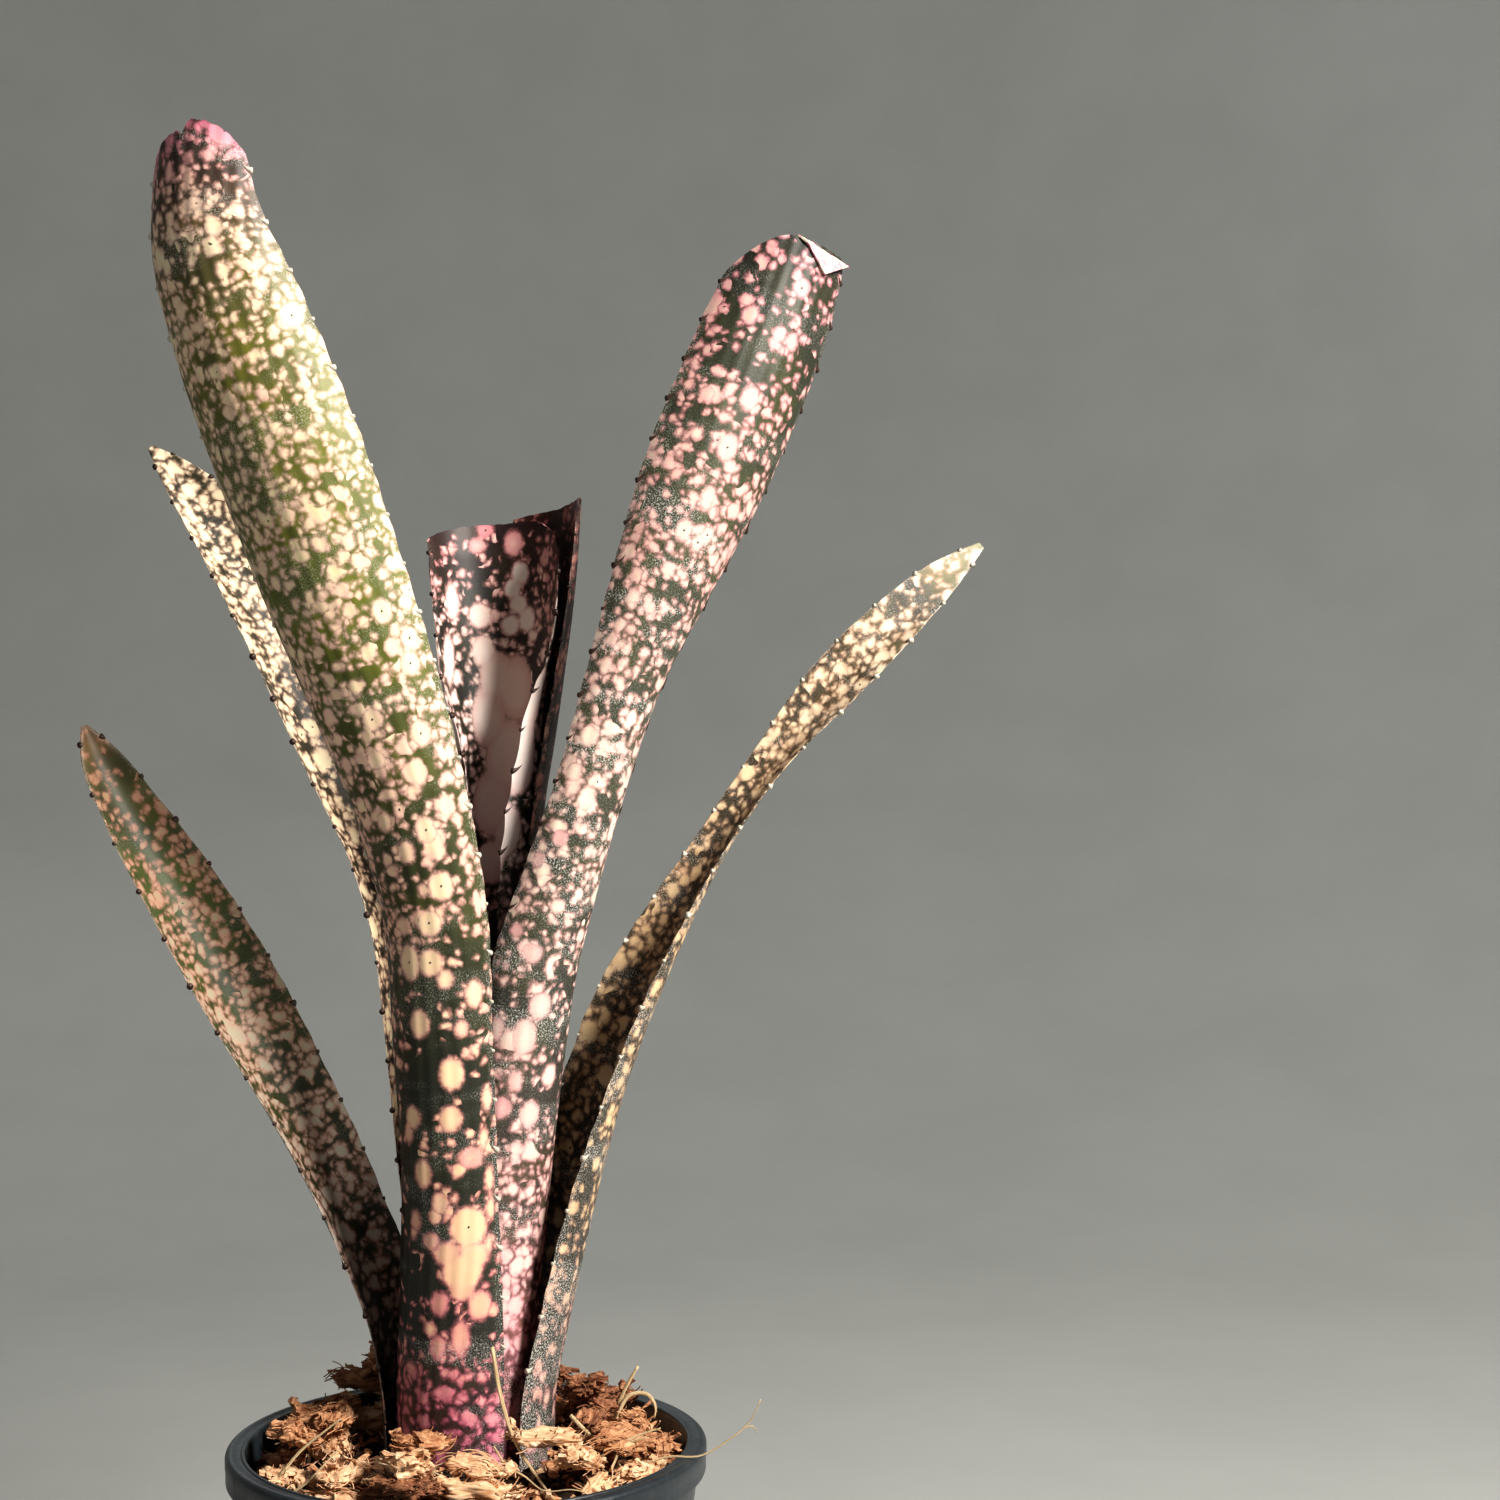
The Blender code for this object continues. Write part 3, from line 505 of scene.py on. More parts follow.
        "ground": [(0.0, (0.02, 0.016, 0.010)), (1.0, (0.020, 0.018, 0.012))],
        "crowd": [(0.0, (0.3, 0.7, 0.7)), (0.5, (0.7, 1.2, 1.1)), (1.0, (0.8, 1.3, 1.2))],
        "scurf": [(0.0, 0.2), (1.0, 0.3)],
        "innerSpots": True},
    "leaf_left": {
        "stations": [
            (74, -12, 8.5, 28, 112, -124), (96, -15.8, 10.8, 37.5, 112, -124),
            (112, -17, 10.3, 34, 110, -124),
            (127, -20.7, 8.5, 25, 108, -124), (143, -27.2, 7.2, 22.5, 112, -124),
            (162, -36, 6.5, 24.5, 126, -125),
            (180, -45, 6, 25.5, 132, -130), (203, -57, 4, 27, 130, -135), (227, -69.5, 2, 23, 125, -140),
            (246, -80, 0, 16.5, 110, -140), (258, -86, -1, 10, 90, -140), (264.5, -88.3, -2, 2, 70, -140)],
        "rosiness": 0.3, "haze": 0.08, "spineSpacing": 12.0, "spineLength": 1.9, "ragged": 0.0,
        "spots": [],
        "tones": [(0.0, (0.36, 0.24, 0.17)), (0.4, (0.42, 0.40, 0.34)), (0.8, (0.32, 0.29, 0.17)),
                  (1.0, (0.30, 0.16, 0.08))],
        "blush": [(0.0, (0.30, 0.08, 0.09)), (0.5, (0.46, 0.24, 0.18)), (0.85, (0.50, 0.20, 0.17)),
                  (1.0, (0.24, 0.11, 0.06))],
        "ground": [(0.0, (0.010, 0.008, 0.007)), (0.45, (0.018, 0.020, 0.009)),
                   (0.8, (0.034, 0.050, 0.012)),
                   (0.95, (0.040, 0.035, 0.012)), (1.0, (0.10, 0.05, 0.02))],
        "crowd": [(0.0, (0.2, 0.5, 0.4)), (0.4, (0.7, 1.1, 1.0)), (0.65, (0.6, 1.0, 1.0)),
                  (0.85, (0.1, 0.6, 0.8)), (1.0, (0.1, 0.3, 0.3))],
        "scurf": [(0.0, 0.15), (0.5, 0.4), (1.0, 0.3)],
        "innerSpots": True},
    "leaf_right": {
        "stations": [
            (74, 14.5, 4.5, 33, 130, 106), (96, 18.9, 5.7, 43.5, 130, 106), (110, 19.5, 5.7, 43, 131, 106),
            (126, 22.3, 7, 40.5, 138, 108), (141, 25.4, 8.3, 40, 142, 109), (158, 29, 9.8, 38, 143, 112),
            (180, 34.5, 12, 34, 141, 117), (198, 40.8, 14, 31.5, 138, 119), (216, 48.5, 16, 24, 136, 122),
            (236, 58.5, 18.5, 15, 134, 130), (255, 70.5, 21, 13, 132, 143), (275, 86.5, 23, 16.5, 120, 158),
            (290, 100.5, 25, 14.5, 108, 166), (301, 112, 26, 9.5, 90, 170), (308.5, 121, 27, 2, 60, 170)],
        "rosiness": 0.5, "haze": 0.35, "spineSpacing": 12.0, "spineLength": 1.8, "ragged": 0.0,
        "spots": [],
        "tones": [(0.0, (0.66, 0.40, 0.40)), (0.3, (0.66, 0.50, 0.28)), (0.6, (0.78, 0.56, 0.30)),
                  (0.85, (0.88, 0.76, 0.54)), (1.0, (0.80, 0.80, 0.76))],
        "blush": [(0.0, (0.50, 0.14, 0.24)), (0.3, (0.36, 0.20, 0.12)), (1.0, (0.52, 0.30, 0.20))],
        "ground": [(0.0, (0.09, 0.04, 0.05)), (0.12, (0.012, 0.011, 0.008)), (0.5, (0.030, 0.018, 0.007)),
                   (0.85, (0.035, 0.024, 0.010)), (1.0, (0.2, 0.2, 0.19))],
        "crowd": [(0.0, (0.4, 0.6, 0.6)), (0.15, (0.0, 0.45, 0.6)), (0.3, (0.0, 0.6, 0.8)),
                  (0.5, (0.5, 1.1, 1.0)), (0.9, (0.5, 1.1, 1.0)),
                  (1.0, (0.1, 0.5, 0.6))],
        "scurf": [(0.0, 1.0), (0.5, 0.9), (1.0, 0.8)],
        "innerSpots": True},
}


def tipDrop(name, across):
    # how far the leaf's end lies below its highest point, in millimetres
    if name == "leaf_front_left":
        notch = 2.4 * np.exp(-((across + 0.18) / 0.09) ** 2)
        lobe = 2.2 * np.clip((-across - 0.1) / 0.3, 0, 1)
        return 6.0 * np.abs(across) ** 3.0 + notch + lobe
    if name == "leaf_front_right":
        return 12.0 * np.abs(np.minimum(across, 0)) ** 2.4
    if name == "leaf_centre":
        near = np.clip(-across - 0.3, 0, 0.7) / 0.7
        return 0.8 + 4.0 * np.clip(across, 0, 1) ** 3 + 12.0 * near ** 1.6
    if name == "leaf_back_centre":
        far = np.clip((across + 0.4) / 1.4, 0, 1)
        near = np.clip((-across - 0.5) / 0.5, 0, 1)
        return 7.0 * far ** 1.2 + 5.0 * near ** 1.5
    return 0.0 * across


def stationCurve(rows, places):
    # smooth values between stations, spaced by the way along the leaf
    steps = np.linalg.norm(np.diff(rows[:, :3], axis=0), axis=1)
    along = np.concatenate([[0.0], np.cumsum(steps)])
    along = along / along[-1]
    gap = np.diff(along)[:, None]
    slope = np.diff(rows, axis=0) / gap
    tangent = np.empty_like(rows)
    tangent[0], tangent[-1] = slope[0], slope[-1]
    tangent[1:-1] = (slope[1:] * gap[:-1] + slope[:-1] * gap[1:]) / (gap[1:] + gap[:-1])
    index = np.clip(np.searchsorted(along, places, side="right") - 1, 0, len(along) - 2)
    span = gap[index, 0][..., None]
    part = (places - along[index])[..., None] / span
    start = (2 * part ** 3 - 3 * part ** 2 + 1) * rows[index]
    start = start + (part ** 3 - 2 * part ** 2 + part) * span * tangent[index]
    finish = (3 * part ** 2 - 2 * part ** 3) * rows[index + 1]
    finish = finish + (part ** 3 - part ** 2) * span * tangent[index + 1]
    return start + finish


def unit(vectors):
    return vectors / np.maximum(np.linalg.norm(vectors, axis=-1), 1e-9)[..., None]


def leafSurface(name, leaf):
    # points, normals and metric places of the outer face, all in millimetres
    rows = np.array(leaf["stations"], dtype=float)[:, [1, 2, 0, 3, 4, 5]]
    length = np.linalg.norm(np.diff(rows[:, :3], axis=0), axis=1).sum()
    rowCount = int(length / leafGrain["row"])
    columnCount = int(rows[:, 3].max() / leafGrain["column"]) | 1
    across = np.linspace(-1.0, 1.0, columnCount)
    along = np.linspace(0.0, 1.0, rowCount)
    nearEnd = np.clip((along - 0.8) / 0.2, 0, 1) ** 2
    ragged = np.array([noise.noise(Vector((a * 9.0, length, 0.0)))
                       + 0.5 * noise.noise(Vector((a * 31.0, length, 3.0))) for a in across]) * leaf["ragged"]
    drop = tipDrop(name, across) + ragged + leaf["ragged"]
    places = along[:, None] - nearEnd[:, None] * drop[None] / length
    values = stationCurve(rows, places)
    small = 0.001
    ahead = stationCurve(rows, np.clip(places + small, 0, 1))[..., :3]
    behind = stationCurve(rows, np.clip(places - small, 0, 1))[..., :3]
    direction = unit(ahead - behind)
    curl, heading = np.radians(values[..., 4]), np.radians(values[..., 5])
    outward = np.stack([np.sin(heading), -np.cos(heading), np.zeros_like(heading)], -1)
    outward -= (outward * direction).sum(-1)[..., None] * direction
    outward = unit(outward)
    sideways = np.cross(direction, outward)
    # margins run in shallow scallops from spine to spine
    beat = np.abs(np.sin(np.pi * places * length / leaf["spineSpacing"]))
    fade = np.clip((along - 0.15) / 0.1, 0, 1)[:, None]
    scallop = 1.0 - leafGrain["scallop"] * beat * np.abs(across)[None] ** 10 * fade
    radius = (values[..., 3] / curl)[..., None]
    angle = (across[None] * scallop * curl / 2)[..., None]
    normal = outward * np.cos(angle) + sideways * np.sin(angle)
    points = values[..., :3] - outward * radius + radius * normal
    flat = np.stack([across[None] * values[..., 3] / 2, places * length], -1)
    return points, normal, flat, across, along, length


farOff, wrongSide = 6.0, 1000.0   # farther than any spot reaches


def noSpots(shape):
    return np.full(shape, -farOff), np.zeros(shape), np.full(shape, farOff)


def spotField(leaf, points, normal, flat):
    # distance inside the nearest listed spot, its blush, and the distance from its eye
    shape = points.shape[:2]
    field, blush, eye = noSpots(shape)
    front = normal[..., 1] < 0.15
    for x, z, wide, tall, tone, dark in leaf["spots"]:
        gap = np.hypot(points[..., 0] - x, points[..., 2] - z) + np.where(front, 0.0, wrongSide)
        row, column = np.unravel_index(np.argmin(gap), shape)
        du = (flat[..., 0] - flat[row, column, 0]) / wide
        dv = (flat[..., 1] - flat[row, column, 1]) / tall
        reach = (1.0 - np.hypot(du, dv)) * min(wide, tall)
        blush = np.where(reach > field, tone, blush)
        field = np.maximum(field, reach)
        if dark:
            eye = np.minimum(eye, np.hypot(du * wide, dv * tall))
    return field, blush, eye


def leafMesh(name, leaf, finishes):
    points, normal, flat, across, along, length = leafSurface(name, leaf)
    rowCount, columnCount = points.shape[:2]
    count = rowCount * columnCount
    edge = np.abs(across) ** 5
    thick = leafGrain["thickness"] * (1 - edge) + leafGrain["marginThickness"] * edge
    thick = thick[None] * (1.0 - 0.5 * np.clip((along - 0.97) / 0.03, 0, 1))[:, None]
    # the blade swells a little between its lengthwise veins
    swell = leafGrain["swell"]
    wave = swell * np.sin(flat[..., 0] * leafGrain["veins"] + 0.4 * np.sin(flat[..., 1] * 0.05))
    wave = wave * (1 - np.abs(across)[None] ** 4)
    outer = points + normal * (wave - swell)[..., None]
    inner = points - normal * thick[..., None]
    shift = np.array(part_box(name)[0])[2] / mm - min(outer[..., 2].min(), inner[..., 2].min())
    outer[..., 2] += shift
    inner[..., 2] += shift
    index = np.arange(count).reshape(rowCount, columnCount)
    quads = np.stack([index[:-1, :-1], index[:-1, 1:], index[1:, 1:], index[1:, :-1]], -1).reshape(-1, 4)
    rim = []
    for line in (index[:, 0][::-1], index[:, -1], index[0, :], index[-1, :][::-1]):
        rim.append(np.stack([line[1:], line[:-1], line[:-1] + count, line[1:] + count], -1))
    rim = np.concatenate(rim)
    faces = np.concatenate([quads, quads[:, ::-1] + count, rim])
    mesh = bpy.data.meshes.new(name)
    corner = np.concatenate([outer.reshape(-1, 3), inner.reshape(-1, 3)]) * mm
    mesh.from_pydata(corner.tolist(), [], faces.tolist())
    coat(mesh, *finishes)
    inside = np.zeros(len(faces), dtype=np.int32)
    inside[len(quads):2 * len(quads)] = 1
    mesh.polygons.foreach_set("material_index", inside)
    shape = flat.reshape(-1, 2)
    corners = shape[faces.reshape(-1) % count].copy()
    corners[np.repeat(inside, 4) == 1, 0] += leafGrain["innerOffset"]
    layer = mesh.uv_layers.new(name="leafMap")
    layer.data.foreach_set("uv", corners.reshape(-1).astype(np.float32))
    ways = {"along": np.tile(np.repeat(along, columnCount), 2), "across": np.tile(across, 2 * rowCount)}
    sides = [spotField(leaf, points, normal * sign, flat) for sign in (1.0, -1.0)]
    if not leaf["innerSpots"]:
        sides[1] = noSpots(points.shape[:2])
    for key, pair in zip(("field", "fieldBlush", "eye"), zip(*sides)):
        ways[key] = np.concatenate([pair[0].reshape(-1), pair[1].reshape(-1)])
    for key, values in ways.items():
        mesh.attributes.new(key, "FLOAT", "POINT").data.foreach_set("value", values.astype(np.float32))
    smooth(mesh, 60)
    margins = [(outer[:, 0] + inner[:, 0]) / 2, (outer[:, -1] + inner[:, -1]) / 2]
    return mesh, margins, normal


def spotLayer(g, place, cell, low, high, presence, shift=0.0):
    # round spots in a field of cells; the result is how far inside a spot a place is, in millimetres
    moved = g.vector("ADD", place, (shift, shift * 0.7, 0.0))
    cells = g.add("ShaderNodeTexVoronoi", {"voronoi_dimensions": "2D"},
                  {"Vector": moved, "Scale": 1.0 / cell, "Randomness": 0.72})
    pick = g.add("ShaderNodeSeparateColor", None, [cells.also("Color")])
    shown = presence.over(pick.also("Green"))
    radius = (pick * pick * (high - low) + low) * shown - (1.0 - shown) * cell
    distance = cells * cell
    eye = (1.0 - distance.step(0.15, 0.36)) * shown * pick.also("Blue").over(0.62)
    return radius - distance, pick.also("Blue"), eye


# channel of crowd, width of a cell, smallest and largest radius, shift of the cells
spotSizes = (("Red", 8.6, 1.4, 3.0, 0.0), ("Green", 5.2, 0.9, 1.9, 7.3), ("Green", 4.7, 0.7, 1.75, 31.9),
             ("Blue", 2.9, 0.35, 1.05, 13.1), ("Blue", 2.4, 0.28, 0.9, 3.7))


def leafFinish(name, leaf, seed, inner=False):
    g = newFinish(name + (" inner" if inner else " outer"))
    flat = g.add("ShaderNodeUVMap", {"uv_map": "leafMap"})
    start = g.vector("ADD", flat, (seed * 41.3, seed * 17.7, 0.0))
    wander = g.cloud(start, 0.30, 2.0, flat=True, out=1)
    wander = g.scaled(g.vector("SUBTRACT", wander, (0.5, 0.5, 0.5)), leafLook["wander"])
    place = g.vector("ADD", start, wander)
    along, across = g.attribute("along"), g.attribute("across")
    patch = g.cloud(start, 0.075, 2.0, flat=True)
    speck = g.cloud(start, 2.2, 3.0, 0.65, flat=True)
    lobe = g.cloud(start, 0.7, 1.0, flat=True)
    crowd = g.add("ShaderNodeSeparateColor", None, [g.ramp(along, leaf["crowd"])])
    many = patch.step(0.3, 0.7, -0.16, 0.16)
    loose, eyes, tints = None, None, []
    for channel, cell, low, high, shift in spotSizes:
        spot, tint, eye = spotLayer(g, place, cell, low, high, crowd.also(channel) * 0.72 + many, shift)
        loose = loose.soft(spot, 0.55) if loose else spot
        eyes = eyes or eye
        tints.append(tint)
    placed, blushed, eye = g.attribute("field"), g.attribute("fieldBlush"), g.attribute("eye")
    under = placed.step(-0.05, 0.35)   # loose spots give way to the listed ones
    loose = loose * (1.0 - under) - under * 1.2
    field = loose.most(placed) + (speck - 0.5) * 0.5 + (lobe - 0.5) * 0.8
    core = field.step(-0.3, 0.55)
    halo = field.step(-0.8, 0.2)
    isPlaced = placed.step(-0.3, 0.1)
    tint = patch.step(0.44, 0.6) * 0.45 + tints[1].step(0.45, 0.85) * 0.35 + tints[3].step(0.45, 0.85) * 0.35
    tint = tint * leaf["rosiness"]
    tint = tint * (1.0 - isPlaced) + blushed * isPlaced
    rosy = g.ramp(along, leaf["blush"])
    light = g.ramp(along, leaf["tones"])
    tone = g.mix(tint.most(0.0).least(1.0), light, rosy)
    tone = g.mix((0.0 - tint).most(0.0), tone, leafLook["cream"])
    # a spot is rosier at its edge and paler in its middle
    tone = g.mix(field.step(0.1, 1.1, 0.5, 0.0), tone, rosy)
    tone = g.mix(field.step(0.7, 2.6) * 0.4, tone, light)
    ground = g.ramp(along, leaf["ground"])
    ground = g.mix(patch.step(0.35, 0.65) * 0.6, ground, g.mix(1.0, ground, (1.9, 1.8, 1.0), "MULTIPLY"))
    ground = g.mix(speck.step(0.5, 0.85) * 0.25, ground, leafLook["speck"])
    colour = g.mix(halo * 0.7, ground, g.mix(0.35, rosy, ground))
    colour = g.mix(core, colour, tone)
    colour = g.mix((eyes * (1.0 - isPlaced)).most(1.0 - eye.step(0.2, 0.42)), colour, leafLook["eye"])
    # pale scurf in cross bands on the outer face, and along both margins; the even pale film set by haze is
    # real scurf, and on the front right blade partly painted sheen
    long = g.stretch(start, (0.35, 1.0, 1.0))
    band = g.cloud(long, 0.11, 2.0, 0.6, flat=True).step(0.46, 0.64)
    fuzz = g.cloud(g.vector("ADD", start, (90.0, 0.0, 0.0)), 2.4, 5.0, 0.8, flat=True).step(0.50, 0.66)
    margin = across.sum("ABSOLUTE", across).step(0.84, 0.97)
    amount = g.add("ShaderNodeSeparateColor", None, [g.ramp(along, leaf["scurf"])])
    scurf = fuzz * (band * amount * 1.3 + margin * 0.5 + amount * leaf["haze"] * 1.4)
    scurf = (scurf * (leafLook["innerScurf"] if inner else 1.0)).least(0.9)
    colour = g.mix(scurf, colour, leafLook["scurf"])
    rough = leafLook["rough"] + core * 0.06 + scurf * 0.4 + speck * 0.12
    vein = g.cloud(g.stretch(start, (1.0, 0.05, 1.0)), 1.6, 3.0, flat=True)
    relief = core * 0.3 + vein * 0.12 + speck * 0.2 + scurf * 0.6
    return dress(g, colour, rough, relief, depth=leafLook["relief"], strength=0.5,
                 **{"Specular IOR Level": 0.4})


spineRule = {"spacing": 11.0 * mm, "spineLength": 2.0 * mm, "spineWidth": 0.75 * mm, "hook": 0.55, "seed": 3}


def spineTree():
    g, size = newRule("spines along a leaf margin", spineRule)
    line = g.add("GeometryNodeMeshToCurve", None, [size["shape"]])
    line = g.add("GeometryNodeResampleCurve", {"mode": "LENGTH"}, {0: line, 3: size["spacing"]})
    thorn = g.add("GeometryNodeMeshCone", None, {0: 7, 1: 4, 2: 1, 3: 0.02 * mm, 4: size["spineWidth"],
                                                 5: size["spineLength"]})
    place = g.add("GeometryNodeInputPosition")
    lift = g.upward(place) / size["spineLength"]
    bend = g.add("ShaderNodeCombineXYZ", None, [lift * lift * size["hook"] * size["spineLength"], 0.0, 0.0])
    thorn = g.add("GeometryNodeSetPosition", None, {0: thorn, 3: bend})
    lean = g.named("lean")
    run = g.named("run")
    turn = g.add("FunctionNodeAlignRotationToVector", {"axis": "Z"}, {2: lean})
    turn = g.add("FunctionNodeAlignRotationToVector", {"axis": "X", "pivot_axis": "Z"}, {0: turn, 2: run})
    large = g.random(0.65, 1.2, size["seed"])
    thorns = g.add("GeometryNodeInstanceOnPoints", None, {0: line, 2: thorn, 5: turn, 6: large})
    closeRule(g, thorns, size["finish"])
    return g


def spineFinish(name, tone, tip):
    g = newFinish(name)
    place = g.objectPlace()
    grain = g.cloud(place, 1500.0, 2.0)
    colour = g.mix(grain.step(0.35, 0.65), tone, tip)
    return dress(g, colour, 0.38 + grain * 0.2, grain, depth=0.05, strength=0.5)


# the stretch of margin that bears spines, how deep they are set in millimetres, and how far they lean
spineSeat = {"first": 0.16, "last": 0.985, "depth": 0.25, "lean": 0.25}


def marginMesh(name, margins, normal):
    # two lines of points with the way the blade runs and the way it leans out at each
    bits = bpy.data.meshes.new(name)
    points, edges, leans, runs = [], [], [], []
    for side, line in ((0, margins[0]), (-1, margins[1])):
        run = unit(np.gradient(line, axis=0))
        out = np.cross(run, normal[:, side])
        out *= 1.0 if side == 0 else -1.0
        first = len(points)
        keep = slice(int(len(line) * spineSeat["first"]), int(len(line) * spineSeat["last"]))
        line, run, out = line[keep], run[keep], out[keep]
        # a spine leans forward, towards the tip
        points += ((line - unit(out) * spineSeat["depth"]) * mm).tolist()
        leans += unit(unit(out) + spineSeat["lean"] * run).tolist()
        runs += run.tolist()
        edges += [(first + i, first + i + 1) for i in range(len(line) - 1)]
    bits.from_pydata(points, edges, [])
    for key, values in (("lean", leans), ("run", runs)):
        keepVectors(bits, key, values)
    return bits


tipFold = {"corners": ((76.0, 377.0), (87.8, 371.0), (81.8, 368.2)), "steps": 16, "lift": 1.2, "clear": 0.25,
           "crease": 0.35, "thickness": 0.45}


def foldMesh(blade):
    # the far corner of the leaf's end, turned over towards the front
    half = len(blade.vertices) // 2
    places = np.array([vertex.co for vertex in blade.vertices[:half]]) / mm
    sides = np.array([vertex.normal for vertex in blade.vertices[:half]])
    ends, lean = [], []
    for x, z in tipFold["corners"]:
        gap = np.hypot(places[:, 0] - x, places[:, 2] - z) + np.where(sides[:, 1] < 0.2, 0.0, wrongSide)
        near = int(np.argmin(gap))
        ends.append(np.array([x, places[near, 1], z]))
        lean.append(sides[near])
    away = unit(np.sum(lean, axis=0))
    steps = tipFold["steps"]
    work = bmesh.new()
    grid = {}
    for i in range(steps + 1):
        for j in range(steps + 1 - i):
            a, b = i / steps, j / steps
            point = ends[0] * (1 - a - b) + ends[1] * a + ends[2] * b
            rise = tipFold["lift"] * min(1.0, b * 5.0) ** 0.5 * (1.0 - 0.45 * b) + tipFold["clear"]
            rise += tipFold["crease"] * noise.noise(Vector((a * 5.0, b * 5.0, 2.0)))
            grid[i, j] = work.verts.new(((point + away * rise) * mm).tolist())
    for i in range(steps):
        for j in range(steps - i):
            work.faces.new((grid[i, j], grid[i + 1, j], grid[i, j + 1]))
            if i + j < steps - 1:
                work.faces.new((grid[i + 1, j], grid[i + 1, j + 1], grid[i, j + 1]))
    bmesh.ops.recalc_face_normals(work, faces=work.faces)
    bmesh.ops.solidify(work, geom=work.faces[:], thickness=tipFold["thickness"] * mm)
    bmesh.ops.recalc_face_normals(work, faces=work.faces)
    mesh = bpy.data.meshes.new("tip_fold")
    work.to_mesh(mesh)
    work.free()
    coat(mesh, foldFinish())
    smooth(mesh, 50)
    return mesh


def foldFinish():
    g = newFinish("turned corner")
    place = g.scaled(g.objectPlace(), 1.0 / mm)
    patch = g.cloud(place, 0.35, 3.0, 0.6)
    speck = g.cloud(place, 1.3, 2.0)
    colour = g.mix(patch.step(0.44, 0.56), (0.74, 0.64, 0.52), (0.60, 0.30, 0.33))
    colour = g.mix(speck.step(0.55, 0.66) * 0.7, colour, (0.16, 0.06, 0.07))
    return dress(g, colour, 0.45, speck, depth=0.12, strength=0.5)


def buildLeaves():
    rule = spineTree()
    dark = spineFinish("dark spine", (0.030, 0.016, 0.012), (0.075, 0.040, 0.028))
    pale = spineFinish("pale spine", (0.42, 0.38, 0.30), (0.62, 0.58, 0.50))
    for seed, (name, leaf) in enumerate(leaves.items(), start=1):
        finishes = (leafFinish(name, leaf, seed), leafFinish(name, leaf, seed, inner=True))
        mesh, margins, normal = leafMesh(name, leaf, finishes)
        addPiece(name.replace("leaf", "blade"), mesh, [name])
        if name == "leaf_front_right":
            addPiece("tip_fold", foldMesh(mesh))
        sizes = dict(spineRule, spacing=leaf["spineSpacing"] * mm, spineLength=leaf["spineLength"] * mm,
                     seed=seed)
        finish = pale if name in ("leaf_front_left", "leaf_right") else dark
        spines = grow(name.replace("leaf", "spines"), marginMesh(name, margins, normal), rule, sizes, finish)
        spines.shade_smooth()
        addPiece(name.replace("leaf", "spines"), spines)
        print(name, len(mesh.polygons), "faces,", len(spines.polygons), "on spines")


# the coir that fills the pot, in millimetres
bed = {"inside": 49.6, "bottom": 2.7, "around": 220, "outward": 60, "lump": 1.5, "gap": 0.3, "foot": 2.0,
       "ringRadii": (0.0, 6.0, 22.0, 31.0, 44.0, 49.6), "ringHeights": (90.0, 93.0, 97.0, 96.0, 94.0, 92.4)}


def coirFinish():
    g = newFinish("fine coir")
    place = g.objectPlace()
    clod = g.cloud(place, 320.0, 5.0, 0.65)
    drawn = g.stretch(place, (0.25, 1.0, 1.0), (0.3, 0.5, 0.8))
    fibre = g.cloud(drawn, 1400.0, 3.0)
    colour = g.ramp(clod * 0.7 + fibre * 0.3, [(0.34, (0.006, 0.004, 0.003)), (0.5, (0.030, 0.014, 0.007)),
                                                (0.62, (0.085, 0.038, 0.016)),
                                                (0.74, (0.20, 0.095, 0.040))])
    return dress(g, colour, 0.9, clod + fibre * 0.6, depth=0.8, strength=0.9)


def buildBed(finish):
    count, rings = bed["around"], bed["outward"]
    angles = np.linspace(0, 2 * math.pi, count, endpoint=False)
    radii = bed["inside"] * np.linspace(1.0, 0.0, rings + 1)[:-1]
    points = []
    for radius in radii:
        for angle in angles:
            x, y = radius * math.cos(angle), radius * math.sin(angle)
            rise = np.interp(radius, bed["ringRadii"], bed["ringHeights"])
            lump = noise.fractal(Vector((x, y, 2.0)) * 0.13, 1.0, 2.0, 4) * bed["lump"] * 1.3
            lump += noise.noise(Vector((x, y, 9.0)) * 0.9) * 0.55
            points.append((x, y, rise + lump * min(1.0, (bed["inside"] - radius) / 2.0 + 0.3)))
    faces = []
    for ring in range(rings - 1):
        for step in range(count):
            a, b = ring * count + step, ring * count + (step + 1) % count
            faces.append((a, b, b + count, a + count))
    middle = len(points)
    points.append((0.0, 0.0, 90.0))
    innermost = (rings - 1) * count
    faces += [(innermost + step, innermost + (step + 1) % count, middle) for step in range(count)]
    # side and underside follow the pot's inner wall
    last = list(range(count))
    for height in (84.0, 40.0, 6.0, bed["bottom"]):
        radius = min(bed["inside"], potRadius(height) - pot["wall"] - bed["gap"])
        radius -= bed["foot"] if height == bed["bottom"] else 0.0
        new = list(range(len(points), len(points) + count))
        points += [(radius * math.cos(a), radius * math.sin(a), height) for a in angles]
        faces += [(last[(i + 1) % count], last[i], new[i], new[(i + 1) % count]) for i in range(count)]
        last = new
    faces.append(tuple(reversed(last)))
    mesh = bpy.data.meshes.new("coir_fill")
    mesh.from_pydata([tuple(c * mm for c in point) for point in points], [], faces)
    coat(mesh, finish)
    smooth(mesh, 60)
    print("coir bed", len(faces), "faces")
    return addPiece("coir_fill", mesh, ["coir_bed"])


crumbRule = {"density": 210000.0, "crumbSize": 1.25 * mm, "seed": 8}
crumbBend = 1.8 * mm


